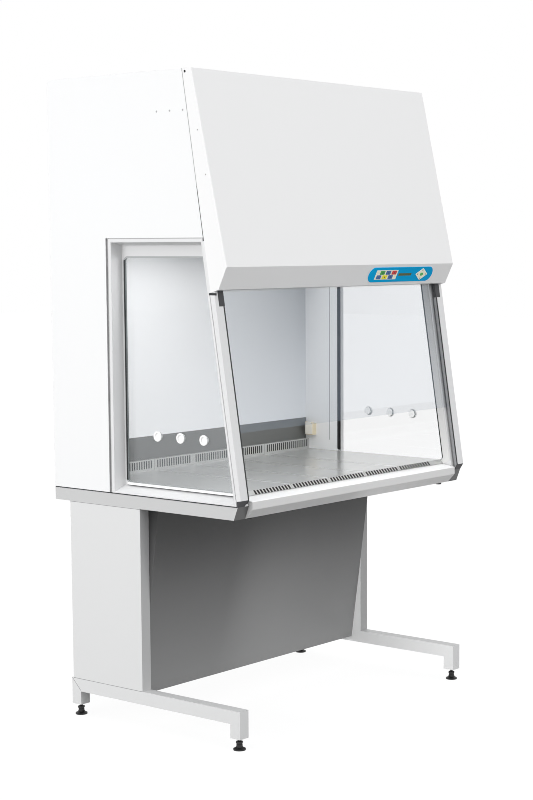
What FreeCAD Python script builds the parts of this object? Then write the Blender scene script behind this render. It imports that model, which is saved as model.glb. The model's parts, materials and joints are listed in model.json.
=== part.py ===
import FreeCAD, Part
import math
import os

# Biological safety cabinet on its own stand, in millimetres.
# X runs to the user's right, Y to the back, Z up. The origin is on the floor,
# in the middle of the footprint, and the user stands on the -Y side.

Vector = FreeCAD.Vector

# Overall sizes
cabinet_width = 1280.0
cabinet_depth = 870.0
cabinet_top = 2222.0
outer_sheet = 2.0
inner_sheet = 1.5
running_gap = 0.3
shaft_gap = 0.05
over = 1.0
panel_fold = 22.0
window_fold = 14.0
hidden_fold = 14.0

# Front plane, in which the sash guides lie
front_lean = 9.0
guide_foot_rise = 22.0
guide_depth = 18.8
seam_gap = 3.0

# Base slab and armrest
slab_bottom = 768.0
slab_height = 44.0
slab_edge_chamfer = 2.0
slab_front_set_back = 14.0
slab_front_taper = 17.0
armrest_end_gap = 1.5
armrest_reach = 60.0
armrest_drop = 10.0
armrest_front_face = 27.0
armrest_top_rise = 8.6
armrest_under_reach = 31.0
armrest_corner = 3.0
latch_radius = 11.0
latch_height = 7.0
latch_inset = 40.0
latch_set_back = 4.0
latch_edge = 2.0

# Work chamber
side_duct = 56.0
duct_depth = 150.0
top_box_height = 582.0
worktop_rise = 38.0
tray_count = 5
tray_pitch = 205.0
tray_gap = 1.0
lip_drop = 14.0
lip_run = 13.0
lip_under = 4.0
worktop_set_back = 67.0
upstand_set_forward = 17.0
upstand_height = 40.0
front_slot_width = 6.5
front_slot_length = 15.0
front_slot_pitch = 16.0
front_slot_end = 84.0
rear_slot_width = 6.0
rear_slot_length = 28.0
rear_slot_pitch = 12.2
rear_slot_foot = 8.0
tray_edge_margin = 11.0
pan_depth = 35.0
pan_set_back = 2.0
splash_rise = 83.0
splash_sheet = 1.0

# Side windows
recess_rear_inset = 147.0
recess_top_slope = 10.5
recess_ceiling_rise = 16.0
recess_sill_rise = 6.0
recess_sill_slope = 20.0
surround_flange = 12.0
surround_top_flange = 11.0
surround_front_flange = 7.6
surround_groove = 12.5
glass_rear_inset = 18.0
glass_ceiling_drop = 26.0
glass_sill = 1.0
glass_front_offset = 36.5
glass_corner = 12.0
glass_sheet = 6.0
gasket_width = 6.0
gasket_depth = 8.4
glass_inset = 4.5
port_rise = 165.0
port_inset = 143.0
port_pitch = 105.0
port_count = 3
port_bore = 14.5
port_flange_radius = 17.5
port_flange_sheet = 3.0
port_dimple_radius = 11.5
port_dimple_depth = 5.0
port_tail = 2.0
port_edge = 1.0

# Front hood
hood_top_reach = 22.8
hood_chin_reach = 67.1
hood_height = 636.0
hood_low_reach = 19.5
hood_chin_drop = 73.0
hood_tip_drop = 10.0
hood_lip = 12.0
hood_corner = 2.5

# Sash, its guides and its lift
sash_opening = 200.0
sash_sheet = 6.0
sash_length = 850.0
sash_corner = 6.0
sash_depth = 12.0
sash_edge_gap = 1.0
guide_face_width = 35.5
guide_wall = 3.0
guide_rear_reach = 54.0
guide_groove_gap = 0.5
guide_web_inset = 22.0
guide_top_drop = 32.0
seal_width = 7.5
seal_set_back = 1.0
block_reach = 42.0
block_width = 27.0
block_cover = 2.0
block_depth = 9.0
block_rise = 0.5
block_hidden = 14.0
hanger_height = 34.0
hanger_depth = 15.0
hanger_end_gap = 65.0
hanger_tongue_width = 22.0
header_depth = 62.0
belt_inset = 95.0
belt_width = 12.0
belt_sheet = 2.0
pulley_radius = 12.5
pulley_flange = 2.5
pulley_flange_sheet = 1.5
pulley_side_gap = 1.0
belt_run_depth = 30.0
lift_shaft_radius = 5.0
lift_shaft_drop = 15.0
idler_rise = 10.0
header_reach = 22.0
bearing_sheet = 6.0
bearing_inset = 16.0
motor_radius = 18.5
motor_length = 90.0
motor_inset = 210.0
motor_foot = 24.0
bracket_reach = 16.0
bracket_front = 11.0

# Air handling
filter_rise = 10.0
filter_height = 100.0
filter_frame = 20.0
filter_pleats = 24
filter_side_gap = 4.0
filter_rear_gap = 2.0
pleat_share = 0.3
plenum_drop = 147.0
plenum_front_gap = 6.0
impeller_radius = 130.0
impeller_eye = 75.0
impeller_width = 70.0
impeller_disc = 3.0
impeller_drop = 160.0
impeller_blades = 9
blade_sheet = 2.5
fan_hub_radius = 45.0
fan_shaft_radius = 8.0
fan_motor_radius = 62.0
fan_motor_length = 90.0
fan_rail = 14.0
fan_rail_set_back = 10.0
fan_rail_bite = 6.0
fan_motor_gap = 3.0
fan_rear_gap = 20.0
hub_share = 0.4
blade_sweep = 30.0
blade_tip_gap = 3.0
blade_root_gap = 1.5
exhaust_width = 520.0
exhaust_length = 260.0
exhaust_inset = 225.0
exhaust_slot_pitch = 20.0
exhaust_slot_width = 10.0
grille_rim = 14.0
grille_depth = 8.0
exhaust_filter_gap = 8.0
plenum_hole_margin = 30.0
lamp_radius = 8.0
lamp_end_gap = 54.0
lamp_holder = 20.0
lamp_gap = 4.0
lamp_holder_wall = 3.0
diffuser_rim = 20.0
diffuser_front_gap = 30.0
inlet_width = 50.0
inlet_height = 30.0
inlet_inset = 220.0
inlet_drop = 120.0
inlet_flange = 5.0
inlet_depth = 30.0
inlet_wall = 6.0
inlet_well = 18.0
blade_pitch = 9.0
blade_width = 2.0
blade_half_height = 3.0
blade_length = 8.0

# Control panel on the chin
panel_inset = 308.0
panel_length = 388.0
panel_height = 58.0
panel_sheet = 2.0
key_width = 26.5
key_height = 15.0
key_pitch = 35.0
key_stagger = 15.0
key_row_gap = 2.2
key_first_inset = 441.5
key_rise = 1.6
key_travel = 1.0
key_under_gap = 0.2
key_corner = 2.5
key_edge = 0.5
panel_edge = 0.6
display_inset = 285.5
display_width = 79.0
display_height = 10.0
display_sheet = 1.0
select_inset = 183.0
select_width = 19.0
select_height = 12.5

# Service socket in the chamber
socket_inset = 15.0
socket_width = 38.0
socket_rise = 56.0
socket_height = 46.0
socket_depth = 22.0
ear_sheet = 3.0
lid_sheet = 3.0
lid_pin_radius = 2.5
ear_wall = 1.0
lid_inset = 2.0
lid_foot_gap = 3.0
socket_corner = 3.0
socket_rim = 5.0
socket_floor = 6.0
ear_reach = 6.0

# Stand
beam_width = 43.0
beam_top = 134.0
beam_height = 46.0
beam_front_inset = 12.0
beam_rear_inset = 68.0
stub_length = 43.0
stub_bottom = 40.0
column_depth = 340.0
column_rear_inset = 75.0
column_edge = 1.5
knee_panel_top_reach = 47.0
knee_panel_bottom_inset = 45.0
knee_panel_bottom = 108.0
knee_panel_flange = 55.0
knee_panel_gap = 0.5
knee_panel_hem = 20.0
pad_radius = 21.0
pad_rim = 5.0
pad_neck_radius = 9.0
foot_nut_height = 30.0
pad_cone = 6.0
foot_stem_radius = 5.0
foot_stem_top = 66.0
foot_bore_top = 72.0

# Values that follow from the sizes above
half_width = cabinet_width / 2
front_y = -cabinet_depth / 2
back_y = cabinet_depth / 2
lean = math.radians(front_lean)
slab_top = slab_bottom + slab_height
guide_foot_height = slab_top + guide_foot_rise
worktop_height = slab_top + worktop_rise
worktop_front = front_y + worktop_set_back
armrest_front_top = worktop_height - lip_drop - armrest_drop
pan_bottom = worktop_height - pan_depth
chamber_back_face = back_y - duct_depth
recess_rear = chamber_back_face - recess_rear_inset
chamber_half = half_width - side_duct
chamber_ceiling = cabinet_top - top_box_height
recess_inner_top = chamber_ceiling + recess_ceiling_rise
recess_top = recess_inner_top + recess_top_slope
front_slot_reach = chamber_half - front_slot_end
recess_sill = slab_top + recess_sill_rise
recess_inner_sill = recess_sill + recess_sill_slope
glass_rear = recess_rear - glass_rear_inset
glass_bottom = worktop_height - glass_sill
glass_top = chamber_ceiling - glass_ceiling_drop
port_height = worktop_height + port_rise
port_rear = glass_rear - port_inset
hood_chin_height = cabinet_top - hood_height
hood_low_height = hood_chin_height - hood_chin_drop
hood_tip_height = hood_low_height - hood_tip_drop
front_slope = math.tan(lean)
hood_top_front = front_y + (cabinet_top - guide_foot_height) * front_slope - hood_top_reach
hood_chin_front = front_y + (hood_chin_height - guide_foot_height) * front_slope - hood_chin_reach
hood_low_front = front_y + (hood_low_height - guide_foot_height) * front_slope - hood_low_reach
sash_opening_height = worktop_height + sash_opening
guide_top_height = cabinet_top - guide_top_drop
lift_shaft_height = guide_top_height - lift_shaft_drop
idler_height = chamber_ceiling + idler_rise
hanger_half_length = half_width - hanger_end_gap
belt_position = half_width - belt_inset
motor_place = motor_inset - half_width
filter_bottom = chamber_ceiling + filter_rise
lamp_half_length = chamber_half - lamp_end_gap
inlet_place = half_width - inlet_inset
panel_centre = half_width - panel_inset
key_first = half_width - key_first_inset
display_place = half_width - display_inset
select_place = half_width - select_inset
plenum_top = cabinet_top - plenum_drop
impeller_height = plenum_top - impeller_drop
exhaust_centre = chamber_back_face - exhaust_inset
socket_rear = chamber_back_face - socket_inset
socket_bottom = worktop_height + socket_rise
beam_front = front_y + beam_front_inset
beam_rear = back_y - beam_rear_inset
column_rear = back_y - column_rear_inset
column_front = column_rear - column_depth
knee_panel_top_front = column_front - knee_panel_top_reach
knee_panel_bottom_front = column_front + knee_panel_bottom_inset
liner_outer = chamber_half + inner_sheet
glass_middle = chamber_half + glass_inset
rib_depth = sash_depth + sash_sheet + guide_groove_gap
nose_depth = sash_depth - guide_groove_gap
seal_outer = half_width - guide_face_width
seal_inner = seal_outer - seal_width
guide_web = half_width - guide_web_inset
upstand_face = chamber_back_face - upstand_set_forward
upstand_top = worktop_height + upstand_height
splash_top = upstand_top + splash_rise
sash_bottom = (sash_opening_height - guide_foot_height) / math.cos(lean)
pulley_axis_depth = belt_run_depth + pulley_radius
armrest_half = chamber_half - armrest_end_gap
chin_angle = math.atan2(hood_low_front - hood_chin_front, hood_chin_height - hood_low_height)
chin_centre_y = (hood_chin_front + hood_low_front) / 2
chin_centre_z = (hood_chin_height + hood_low_height) / 2


def box(x0, x1, y0, y1, z0, z1):
    """A block between two corners."""
    return Part.makeBox(x1 - x0, y1 - y0, z1 - z0, Vector(x0, y0, z0))


def across(points, x0, x1):
    """A profile of (y, z) points, swept along X from x0 to x1."""
    corners = [Vector(x0, y, z) for y, z in points]
    face = Part.Face(Part.makePolygon(corners + corners[:1]))
    return face.extrude(Vector(x1 - x0, 0, 0))


def upward(points, z0, z1):
    """A profile of (x, y) points, swept along Z from z0 to z1."""
    corners = [Vector(x, y, z0) for x, y in points]
    face = Part.Face(Part.makePolygon(corners + corners[:1]))
    return face.extrude(Vector(0, 0, z1 - z0))


def rod(radius, start, end):
    """A round bar between two points."""
    axis = end - start
    return Part.makeCylinder(radius, axis.Length, start, axis)


def turned(points, base, axis):
    """A profile of (radius, height) points, turned about an axis through base."""
    corners = [Vector(radius, 0, height) for radius, height in points]
    face = Part.Face(Part.makePolygon(corners + corners[:1]))
    solid = face.revolve(Vector(0, 0, 0), Vector(0, 0, 1), 360)
    solid.Placement = FreeCAD.Placement(base, FreeCAD.Rotation(Vector(0, 0, 1), axis))
    return solid


def mirrored(shape):
    """The same piece on the other side of the cabinet."""
    return shape.mirror(Vector(0, 0, 0), Vector(1, 0, 0))


def joined(shapes):
    """Several pieces as one solid."""
    return shapes[0].fuse(shapes[1:]).removeSplitter()


def lean_y(height, depth):
    """Where the plane at a depth behind the leaning front meets a height."""
    return front_y + (height - guide_foot_height) * front_slope + depth / math.cos(lean)


def leaned(shape):
    """Turn a shape from the guides' frame (X, depth, run) into the cabinet's."""
    shape.rotate(Vector(0, 0, 0), Vector(1, 0, 0), -front_lean)
    shape.translate(Vector(0, front_y, guide_foot_height))
    return shape


def run_of(height, depth):
    """How far along the leaning guides a height lies, at a depth."""
    return (height - guide_foot_height + depth * math.sin(lean)) / math.cos(lean)


def on_chin(shape):
    """Turn a shape from the chin's frame (X, inward, up the chin) into the cabinet's."""
    shape.rotate(Vector(0, 0, 0), Vector(1, 0, 0), math.degrees(chin_angle))
    shape.translate(Vector(0, chin_centre_y, chin_centre_z))
    return shape


def edges_along(shape, direction, test):
    """The straight edges that run along a direction and whose middle passes a test."""
    found = []
    for edge in shape.Edges:
        if len(edge.Vertexes) != 2 or not isinstance(edge.Curve, Part.Line):
            continue
        start, end = edge.Vertexes[0].Point, edge.Vertexes[1].Point
        if abs((end - start).normalize().dot(direction)) > 0.999 and test((start + end) * 0.5):
            found.append(edge)
    return found


def side_panel():
    """Right outer side: a folded sheet, cut out in front for the window surround."""
    outer = half_width
    inner = half_width - outer_sheet
    groove_rear = recess_rear + surround_flange + surround_groove
    groove_top = recess_top + surround_top_flange + seam_gap
    seam_top = lean_y(cabinet_top, guide_depth)
    outline = [
        (back_y, slab_top),
        (back_y, cabinet_top),
        (seam_top, cabinet_top),
        (lean_y(groove_top, guide_depth), groove_top),
        (groove_rear, groove_top),
        (groove_rear, slab_top),
    ]
    sheet = across(outline, inner, outer)
    rear_fold = box(inner - panel_fold, inner, back_y - outer_sheet, back_y, slab_top, cabinet_top)
    side_fold = box(inner - window_fold, inner, groove_rear, groove_rear + outer_sheet, slab_top, groove_top)
    head_fold = box(
        inner - window_fold, inner, lean_y(groove_top, guide_depth + guide_rear_reach), groove_rear + outer_sheet,
        groove_top, groove_top + outer_sheet,
    )
    return joined([sheet, rear_fold, side_fold, head_fold])


def opening_outline(grow):
    """Corners of the side window, grown outwards by a margin."""
    front_top = lean_y(glass_top, guide_depth) + glass_front_offset
    front_bottom = lean_y(glass_bottom, guide_depth) + glass_front_offset
    return [
        (glass_rear + grow, glass_bottom - grow),
        (glass_rear + grow, glass_top + grow),
        (front_top - grow, glass_top + grow),
        (front_bottom - grow, glass_bottom - grow),
    ]


def window_block(grow, x0, x1):
    """The side window's rounded outline as a block across the wall."""
    block = across(opening_outline(grow), x0, x1)
    corners = edges_along(block, Vector(1, 0, 0), lambda middle: True)
    return block.makeFillet(glass_corner + grow, corners)


def window_surround():
    """Right window surround: outer flange, splayed recess and the ring that holds the glass."""
    depth_to_flange = guide_depth + seam_gap * math.cos(lean)
    front = depth_to_flange + surround_front_flange * math.cos(lean)
    flange_rear = recess_rear + surround_flange
    flange_top = recess_top + surround_top_flange
    outline = [
        (flange_rear, slab_top),
        (flange_rear, flange_top),
        (lean_y(flange_top, depth_to_flange), flange_top),
        (lean_y(slab_top, depth_to_flange), slab_top),
    ]
    body = across(outline, liner_outer, half_width)
    mouth = [
        Vector(half_width, recess_rear, recess_sill),
        Vector(half_width, recess_rear, recess_top),
        Vector(half_width, lean_y(recess_top, front), recess_top),
        Vector(half_width, lean_y(recess_sill, front), recess_sill),
    ]
    floor_x = liner_outer + outer_sheet
    throat = [
        Vector(floor_x, recess_rear, recess_inner_sill),
        Vector(floor_x, recess_rear, recess_inner_top),
        Vector(floor_x, lean_y(recess_inner_top, front), recess_inner_top),
        Vector(floor_x, lean_y(recess_inner_sill, front), recess_inner_sill),
    ]
    loops = [Part.makePolygon(loop + loop[:1]) for loop in (mouth, throat)]
    recess = Part.makeLoft(loops, True, True)
    back_space = across(
        [
            (flange_rear, recess_sill - outer_sheet),
            (flange_rear, recess_top),
            (recess_rear + outer_sheet, recess_top),
            (recess_rear + outer_sheet, recess_sill - outer_sheet),
        ],
        liner_outer, half_width - outer_sheet,
    )
    opening = window_block(gasket_width, liner_outer - over, floor_x + over)
    return body.cut([recess, back_space, opening]).removeSplitter()


def chamber_side():
    """Right inner wall of the work chamber, with the window opening."""
    sill = pan_bottom
    rear = chamber_back_face
    depth = guide_depth + guide_wall + running_gap
    outline = [
        (rear, sill),
        (rear, chamber_ceiling),
        (lean_y(chamber_ceiling, depth), chamber_ceiling),
        (lean_y(worktop_height, depth), worktop_height),
        (worktop_front - lip_run, worktop_height - lip_drop - lip_under),
        (worktop_front, sill),
    ]
    sheet = across(outline, chamber_half, liner_outer)
    opening = window_block(gasket_width, chamber_half - over, liner_outer + over)
    return sheet.cut(opening)


def port_places():
    """Where the ports of a side window lie along Y."""
    return [port_rear - index * port_pitch for index in range(port_count)]


def side_glass():
    """Right window pane with its port holes."""
    x0 = glass_middle - glass_sheet / 2
    x1 = glass_middle + glass_sheet / 2
    pane = window_block(0.0, x0, x1)
    holes = [
        rod(port_bore, Vector(x0 - over, y, port_height), Vector(x1 + over, y, port_height))
        for y in port_places()
    ]
    return pane.cut(holes)


def glass_gasket():
    """Right rubber frame between pane and wall."""
    x0 = glass_middle - gasket_depth / 2
    x1 = glass_middle + gasket_depth / 2
    frame = window_block(gasket_width - running_gap, x0, x1)
    return frame.cut(window_block(running_gap, x0 - over, x1 + over))


def port_plugs():
    """Three moulded plugs in the right pane, each a flanged cup with a dimple."""
    reach = glass_sheet / 2
    stem = port_bore - running_gap
    profile = [
        (0, -reach - port_tail),
        (stem, -reach - port_tail),
        (stem, reach),
        (port_flange_radius, reach),
        (port_flange_radius, reach + port_flange_sheet),
        (port_dimple_radius, reach + port_flange_sheet),
        (port_dimple_radius - port_edge, reach + port_flange_sheet - port_dimple_depth),
        (0, reach + port_flange_sheet - port_dimple_depth),
    ]
    places = [Vector(glass_middle, y, port_height) for y in port_places()]
    return [turned(profile, place, Vector(1, 0, 0)) for place in places]


def inlet_block(margin, y0, y1):
    """The outline of the appliance inlet, grown by a margin, as a block."""
    low = cabinet_top - inlet_drop
    return box(
        inlet_place - inlet_width / 2 - margin, inlet_place + inlet_width / 2 + margin, y0, y1,
        low - margin, low + inlet_height + margin,
    )


def back_panel():
    """Outer back sheet, held behind the side panels' folds."""
    half = half_width - outer_sheet
    rear = back_y - outer_sheet
    sheet = box(-half, half, rear - outer_sheet, rear, slab_top, cabinet_top - outer_sheet)
    return sheet.cut(inlet_block(0.0, rear - outer_sheet - over, rear + over))


def power_inlet():
    """Appliance inlet on the back, with its three blades."""
    rear = back_y - outer_sheet
    middle = cabinet_top - inlet_drop + inlet_height / 2
    flange = inlet_block(inlet_flange, rear, back_y)
    body = inlet_block(-running_gap, rear - inlet_depth, rear)
    well = inlet_block(-inlet_wall, rear - inlet_well, back_y + over)
    blades = [
        box(
            inlet_place + shift * blade_pitch - blade_width / 2, inlet_place + shift * blade_pitch + blade_width / 2,
            rear - inlet_well, rear - inlet_well + blade_length,
            middle - blade_half_height, middle + blade_half_height,
        )
        for shift in (-1, 0, 1)
    ]
    return joined([flange.fuse(body).cut(well)] + blades)


def exhaust_edges(margin):
    """Corners of the exhaust opening, grown by a margin."""
    return (
        -exhaust_width / 2 - margin, exhaust_width / 2 + margin,
        exhaust_centre - exhaust_length / 2 - margin, exhaust_centre + exhaust_length / 2 + margin,
    )


def top_panel():
    """Top sheet with its front and rear folds and the exhaust opening."""
    half = half_width - outer_sheet
    front = lean_y(cabinet_top, guide_depth)
    rear = back_y - outer_sheet
    low = cabinet_top - outer_sheet
    sheet = box(-half, half, front, rear, low, cabinet_top)
    fold = box(-half, half, front, front + outer_sheet, low - hidden_fold, low)
    opening = box(*exhaust_edges(0.0), low - over, cabinet_top + over)
    return sheet.fuse(fold).cut(opening).removeSplitter()


def exhaust_grille():
    """Slotted guard in the exhaust opening, flush with the top."""
    x0, x1, y0, y1 = exhaust_edges(-running_gap)
    low = cabinet_top - outer_sheet
    tray = box(x0, x1, y0, y1, cabinet_top - grille_depth, cabinet_top)
    hollow = box(
        x0 + outer_sheet, x1 - outer_sheet, y0 + outer_sheet, y1 - outer_sheet,
        cabinet_top - grille_depth - over, low,
    )
    count = int((exhaust_width - 2 * grille_rim) // exhaust_slot_pitch)
    first = -(count - 1) * exhaust_slot_pitch / 2
    slots = []
    for index in range(count):
        middle = first + index * exhaust_slot_pitch
        slots.append(
            box(
                middle - exhaust_slot_width / 2, middle + exhaust_slot_width / 2,
                y0 + grille_rim, y1 - grille_rim, low - over, cabinet_top + over,
            )
        )
    return tray.cut([hollow] + slots)


def front_hood():
    """Folded front cover: sloping face, chin, side flanges and a lip under the chin."""
    flange_depth = guide_depth - seam_gap * math.cos(lean)
    rear_top = lean_y(cabinet_top, flange_depth)
    rear_low = lean_y(hood_tip_height, flange_depth)
    body = across(
        [
            (rear_top, cabinet_top),
            (hood_top_front, cabinet_top),
            (hood_chin_front, hood_chin_height),
            (hood_low_front, hood_low_height),
            (rear_low, hood_tip_height),
        ],
        -half_width, half_width,
    )
    face_angle = math.atan2(hood_top_front - hood_chin_front, cabinet_top - hood_chin_height)
    face_shift = outer_sheet / math.cos(face_angle)
    chin_shift = outer_sheet / math.cos(chin_angle)
    crease_y = hood_chin_front + (face_shift + chin_shift) / 2
    lip_end = hood_low_front + hood_lip
    hollow = across(
        [
            (rear_top + hood_lip, cabinet_top - outer_sheet),
            (hood_top_front + face_shift, cabinet_top - outer_sheet),
            (crease_y, hood_chin_height),
            (hood_low_front + chin_shift, hood_low_height + outer_sheet),
            (lip_end, hood_low_height + outer_sheet),
            (lip_end, hood_tip_height - hood_lip),
            (rear_low + hood_lip, hood_tip_height - hood_lip),
        ],
        -half_width + outer_sheet, half_width - outer_sheet,
    )
    corner_direction = Vector(0, hood_top_front - hood_chin_front, cabinet_top - hood_chin_height).normalize()
    middle_y = (hood_top_front + hood_chin_front) / 2
    corners = edges_along(body, corner_direction, lambda middle: abs(middle.y - middle_y) < 1.0)
    return body.makeFillet(hood_corner, corners).cut(hollow)


def armrest():
    """Armrest in front of the grille."""
    rear = front_y + armrest_reach
    low = armrest_front_top - armrest_front_face
    outline = [
        (rear, armrest_front_top + armrest_top_rise),
        (front_y, armrest_front_top),
        (front_y, low),
        (front_y + armrest_under_reach, slab_bottom),
        (rear, slab_bottom),
    ]
    body = across(outline, -armrest_half, armrest_half)
    edges = edges_along(body, Vector(1, 0, 0), lambda middle: middle.y < front_y + over)
    return body.makeFillet(armrest_corner, edges)


def armrest_latches():
    """Two black turn knobs that clamp the armrest from below."""
    y = front_y + armrest_under_reach + latch_radius + latch_set_back
    profile = [
        (0, 0),
        (latch_radius - latch_edge, 0),
        (latch_radius, latch_edge),
        (latch_radius, latch_height),
        (0, latch_height),
    ]
    places = [side * (armrest_half - latch_inset) for side in (-1, 1)]
    return [turned(profile, Vector(x, y, slab_bottom - latch_height), Vector(0, 0, 1)) for x in places]


def base_slab():
    """Base of the cabinet: a closed steel slab with tapered front corners."""
    top_front = front_y + slab_front_set_back
    outline = [
        (top_front, slab_top),
        (top_front + slab_front_taper, slab_bottom),
        (back_y - outer_sheet, slab_bottom),
        (back_y - outer_sheet, slab_top),
    ]
    body = across(outline, -half_width, half_width)
    sides = edges_along(body, Vector(0, 1, 0), lambda middle: middle.z > slab_top - over)
    body = body.makeChamfer(slab_edge_chamfer, sides)
    bay = box(-chamber_half, chamber_half, front_y, front_y + armrest_reach, slab_bottom - over, slab_top + over)
    return body.cut(bay)


def tray_profile():
    """Folded sheet of a worktop tray: grille lip, worktop, upstand and its ledge."""
    sheet = inner_sheet
    angle = math.atan2(lip_drop, lip_run)
    tip = (worktop_front - lip_run, worktop_height - lip_drop)
    tip_under = (tip[0] + sheet * math.sin(angle), tip[1] - sheet * math.cos(angle))
    bend_under = worktop_front + sheet * math.tan(angle / 2)
    return [
        tip,
        (worktop_front, worktop_height),
        (upstand_face, worktop_height),
        (upstand_face, upstand_top),
        (chamber_back_face - splash_sheet, upstand_top),
        (chamber_back_face - splash_sheet, upstand_top - sheet),
        (upstand_face + sheet, upstand_top - sheet),
        (upstand_face + sheet, worktop_height - sheet),
        (bend_under, worktop_height - sheet),
        tip_under,
    ]


def tray_edges():
    """Where each worktop tray starts and ends along X."""
    inner = [(index - (tray_count - 2) / 2) * tray_pitch for index in range(tray_count - 1)]
    walls = [-chamber_half + running_gap] + inner + [chamber_half - running_gap]
    last = len(walls) - 2
    return [
        (walls[index] + (tray_gap / 2 if index > 0 else 0), walls[index + 1] - (tray_gap / 2 if index < last else 0))
        for index in range(len(walls) - 1)
    ]


def slot_places(start, end, pitch, margin, reach):
    """Middles of evenly spaced slots between two edges, kept within a reach."""
    low = max(start + margin, -reach)
    high = min(end - margin, reach)
    count = int((high - low) // pitch) + 1
    first = (low + high - (count - 1) * pitch) / 2
    return [first + index * pitch for index in range(count)]


def worktop_trays():
    """Removable worktop trays of folded stainless sheet, slotted in front and behind."""
    angle = math.degrees(math.atan2(lip_drop, lip_run))
    lip_middle = Vector(0, worktop_front - lip_run / 2, worktop_height - lip_drop / 2)
    slot_low = worktop_height + rear_slot_foot
    trays = []
    for start, end in tray_edges():
        tray = across(tray_profile(), start, end)
        cuts = []
        for x in slot_places(start, end, front_slot_pitch, tray_edge_margin, front_slot_reach):
            slot = box(
                -front_slot_width / 2, front_slot_width / 2, -front_slot_length / 2, front_slot_length / 2,
                -inner_sheet - over, inner_sheet + over,
            )
            slot.rotate(Vector(0, 0, 0), Vector(1, 0, 0), angle)
            slot.translate(lip_middle + Vector(x, 0, 0))
            cuts.append(slot)
        for x in slot_places(start, end, rear_slot_pitch, tray_edge_margin, chamber_half):
            cuts.append(
                box(
                    x - rear_slot_width / 2, x + rear_slot_width / 2, upstand_face - over,
                    upstand_face + inner_sheet + over, slot_low, slot_low + rear_slot_length,
                )
            )
        trays.append(tray.cut(cuts))
    return trays


def drip_pan():
    """Stainless pan under the trays: a floor and four strips, whose rims carry the trays."""
    half = chamber_half - running_gap
    front = worktop_front + pan_set_back
    rear = chamber_back_face
    floor_top = pan_bottom + inner_sheet
    rim = worktop_height - inner_sheet
    floor = box(-half, half, front, rear, pan_bottom, floor_top)
    strips = [box(-half, half, y, y + inner_sheet, floor_top, rim) for y in (front, rear - inner_sheet)]
    ends = [
        box(x, x + inner_sheet, front + inner_sheet, rear - inner_sheet, floor_top, rim)
        for x in (-half, half - inner_sheet)
    ]
    return Part.Compound([floor] + strips + ends)


def chamber_back():
    """Back wall of the work chamber."""
    half = liner_outer
    rear = chamber_back_face + inner_sheet
    return box(-half, half, chamber_back_face, rear, pan_bottom, plenum_top)


def back_splash():
    """Stainless strip along the foot of the back wall."""
    half = chamber_half - running_gap
    return box(-half, half, chamber_back_face - splash_sheet, chamber_back_face, upstand_top, splash_top)


def sash_guide():
    """Right sash guide: a hollow painted extrusion with the groove for the glass edge."""
    outer = half_width
    wall = guide_wall
    start = run_of(slab_top, 0.0)
    end = run_of(guide_top_height, 0.0)
    nose = box(seal_outer, outer, 0, nose_depth, 0, end)
    nose_hollow = box(seal_outer + wall, outer - wall, wall, nose_depth - wall, -over, end + over)
    skin = box(outer - wall, outer, nose_depth, guide_depth, 0, end)
    web = box(guide_web, guide_web + wall, nose_depth, rib_depth, 0, end)
    rib = box(outer - guide_rear_reach, outer - wall, rib_depth, rib_depth + wall, start, end)
    profile = joined([nose.cut(nose_hollow), skin, web, rib])
    hood_clear = box(
        outer - outer_sheet, outer + over, -over, guide_depth + over,
        run_of(hood_tip_height - block_cover, 0.0), end + over,
    )
    guide = leaned(profile.cut(hood_clear))
    below = box(chamber_half, outer + over, front_y - guide_depth, back_y, 0, slab_top)
    return guide.cut([below, guide_top_block(running_gap)])


def foot_slant():
    """Everything below and in front of the guides' slanted feet."""
    foot_y = front_y + slab_front_set_back
    run = slab_front_set_back
    fall = guide_foot_height - slab_top
    return across(
        [
            (front_y - run, guide_foot_height + fall),
            (foot_y, slab_top),
            (back_y, slab_top),
            (back_y, slab_bottom),
            (front_y - run, slab_bottom),
        ],
        chamber_half, half_width + over,
    )


def guide_end_pieces():
    """Black end pieces of the right guide: the foot cap and the block under the hood."""
    foot = leaned(box(seal_outer, half_width, 0, rib_depth - running_gap, run_of(slab_top, 0.0), 0))
    return [foot.cut(foot_slant()), guide_top_block(0.0)]


def guide_top_block(grow):
    """Black block in the head of the right guide, or the notch that it fills."""
    high = run_of(hood_tip_height - block_cover, 0.0)
    return leaned(
        box(
            seal_inner - grow, seal_inner + block_width + grow, -block_rise - grow, block_depth + grow,
            high - block_reach - grow, high + block_hidden,
        )
    )


def guide_seal():
    """Black lip seal on the inner edge of the right guide."""
    end = run_of(hood_tip_height - block_cover, 0.0) - block_reach - running_gap
    seal = leaned(box(seal_inner, seal_outer, seal_set_back, nose_depth, run_of(slab_top, 0.0), end))
    return seal.cut(foot_slant())


def sash_glass():
    """Sliding front pane, at its working height."""
    half = guide_web - sash_edge_gap
    pane = box(-half, half, sash_depth, sash_depth + sash_sheet, sash_bottom, sash_bottom + sash_length)
    low_corners = edges_along(pane, Vector(0, 1, 0), lambda middle: middle.z < sash_bottom + over)
    return leaned(pane.makeFillet(sash_corner, low_corners))


def sash_hanger():
    """Aluminium clamp along the top of the sash, with a tongue for each belt."""
    top = sash_bottom + sash_length
    front = sash_depth - (hanger_depth - sash_sheet) / 2
    rear = front + hanger_depth
    bar = box(-hanger_half_length, hanger_half_length, front, rear, top - hanger_height / 2, top + hanger_height / 2)
    slot = box(
        -hanger_half_length - over, hanger_half_length + over, sash_depth, sash_depth + sash_sheet,
        top - hanger_height, top,
    )
    bar = bar.cut(slot)
    tongues = [
        box(
            side * belt_position - hanger_tongue_width / 2, side * belt_position + hanger_tongue_width / 2,
            rear - over, belt_run_depth - belt_sheet - running_gap, top, top + hanger_height / 2,
        )
        for side in (-1, 1)
    ]
    return leaned(joined([bar] + tongues))


def shaft_place(height):
    """Run and depth of a lift shaft at a height, in the guides' frame."""
    return Vector(0, pulley_axis_depth, run_of(height, pulley_axis_depth))


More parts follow.
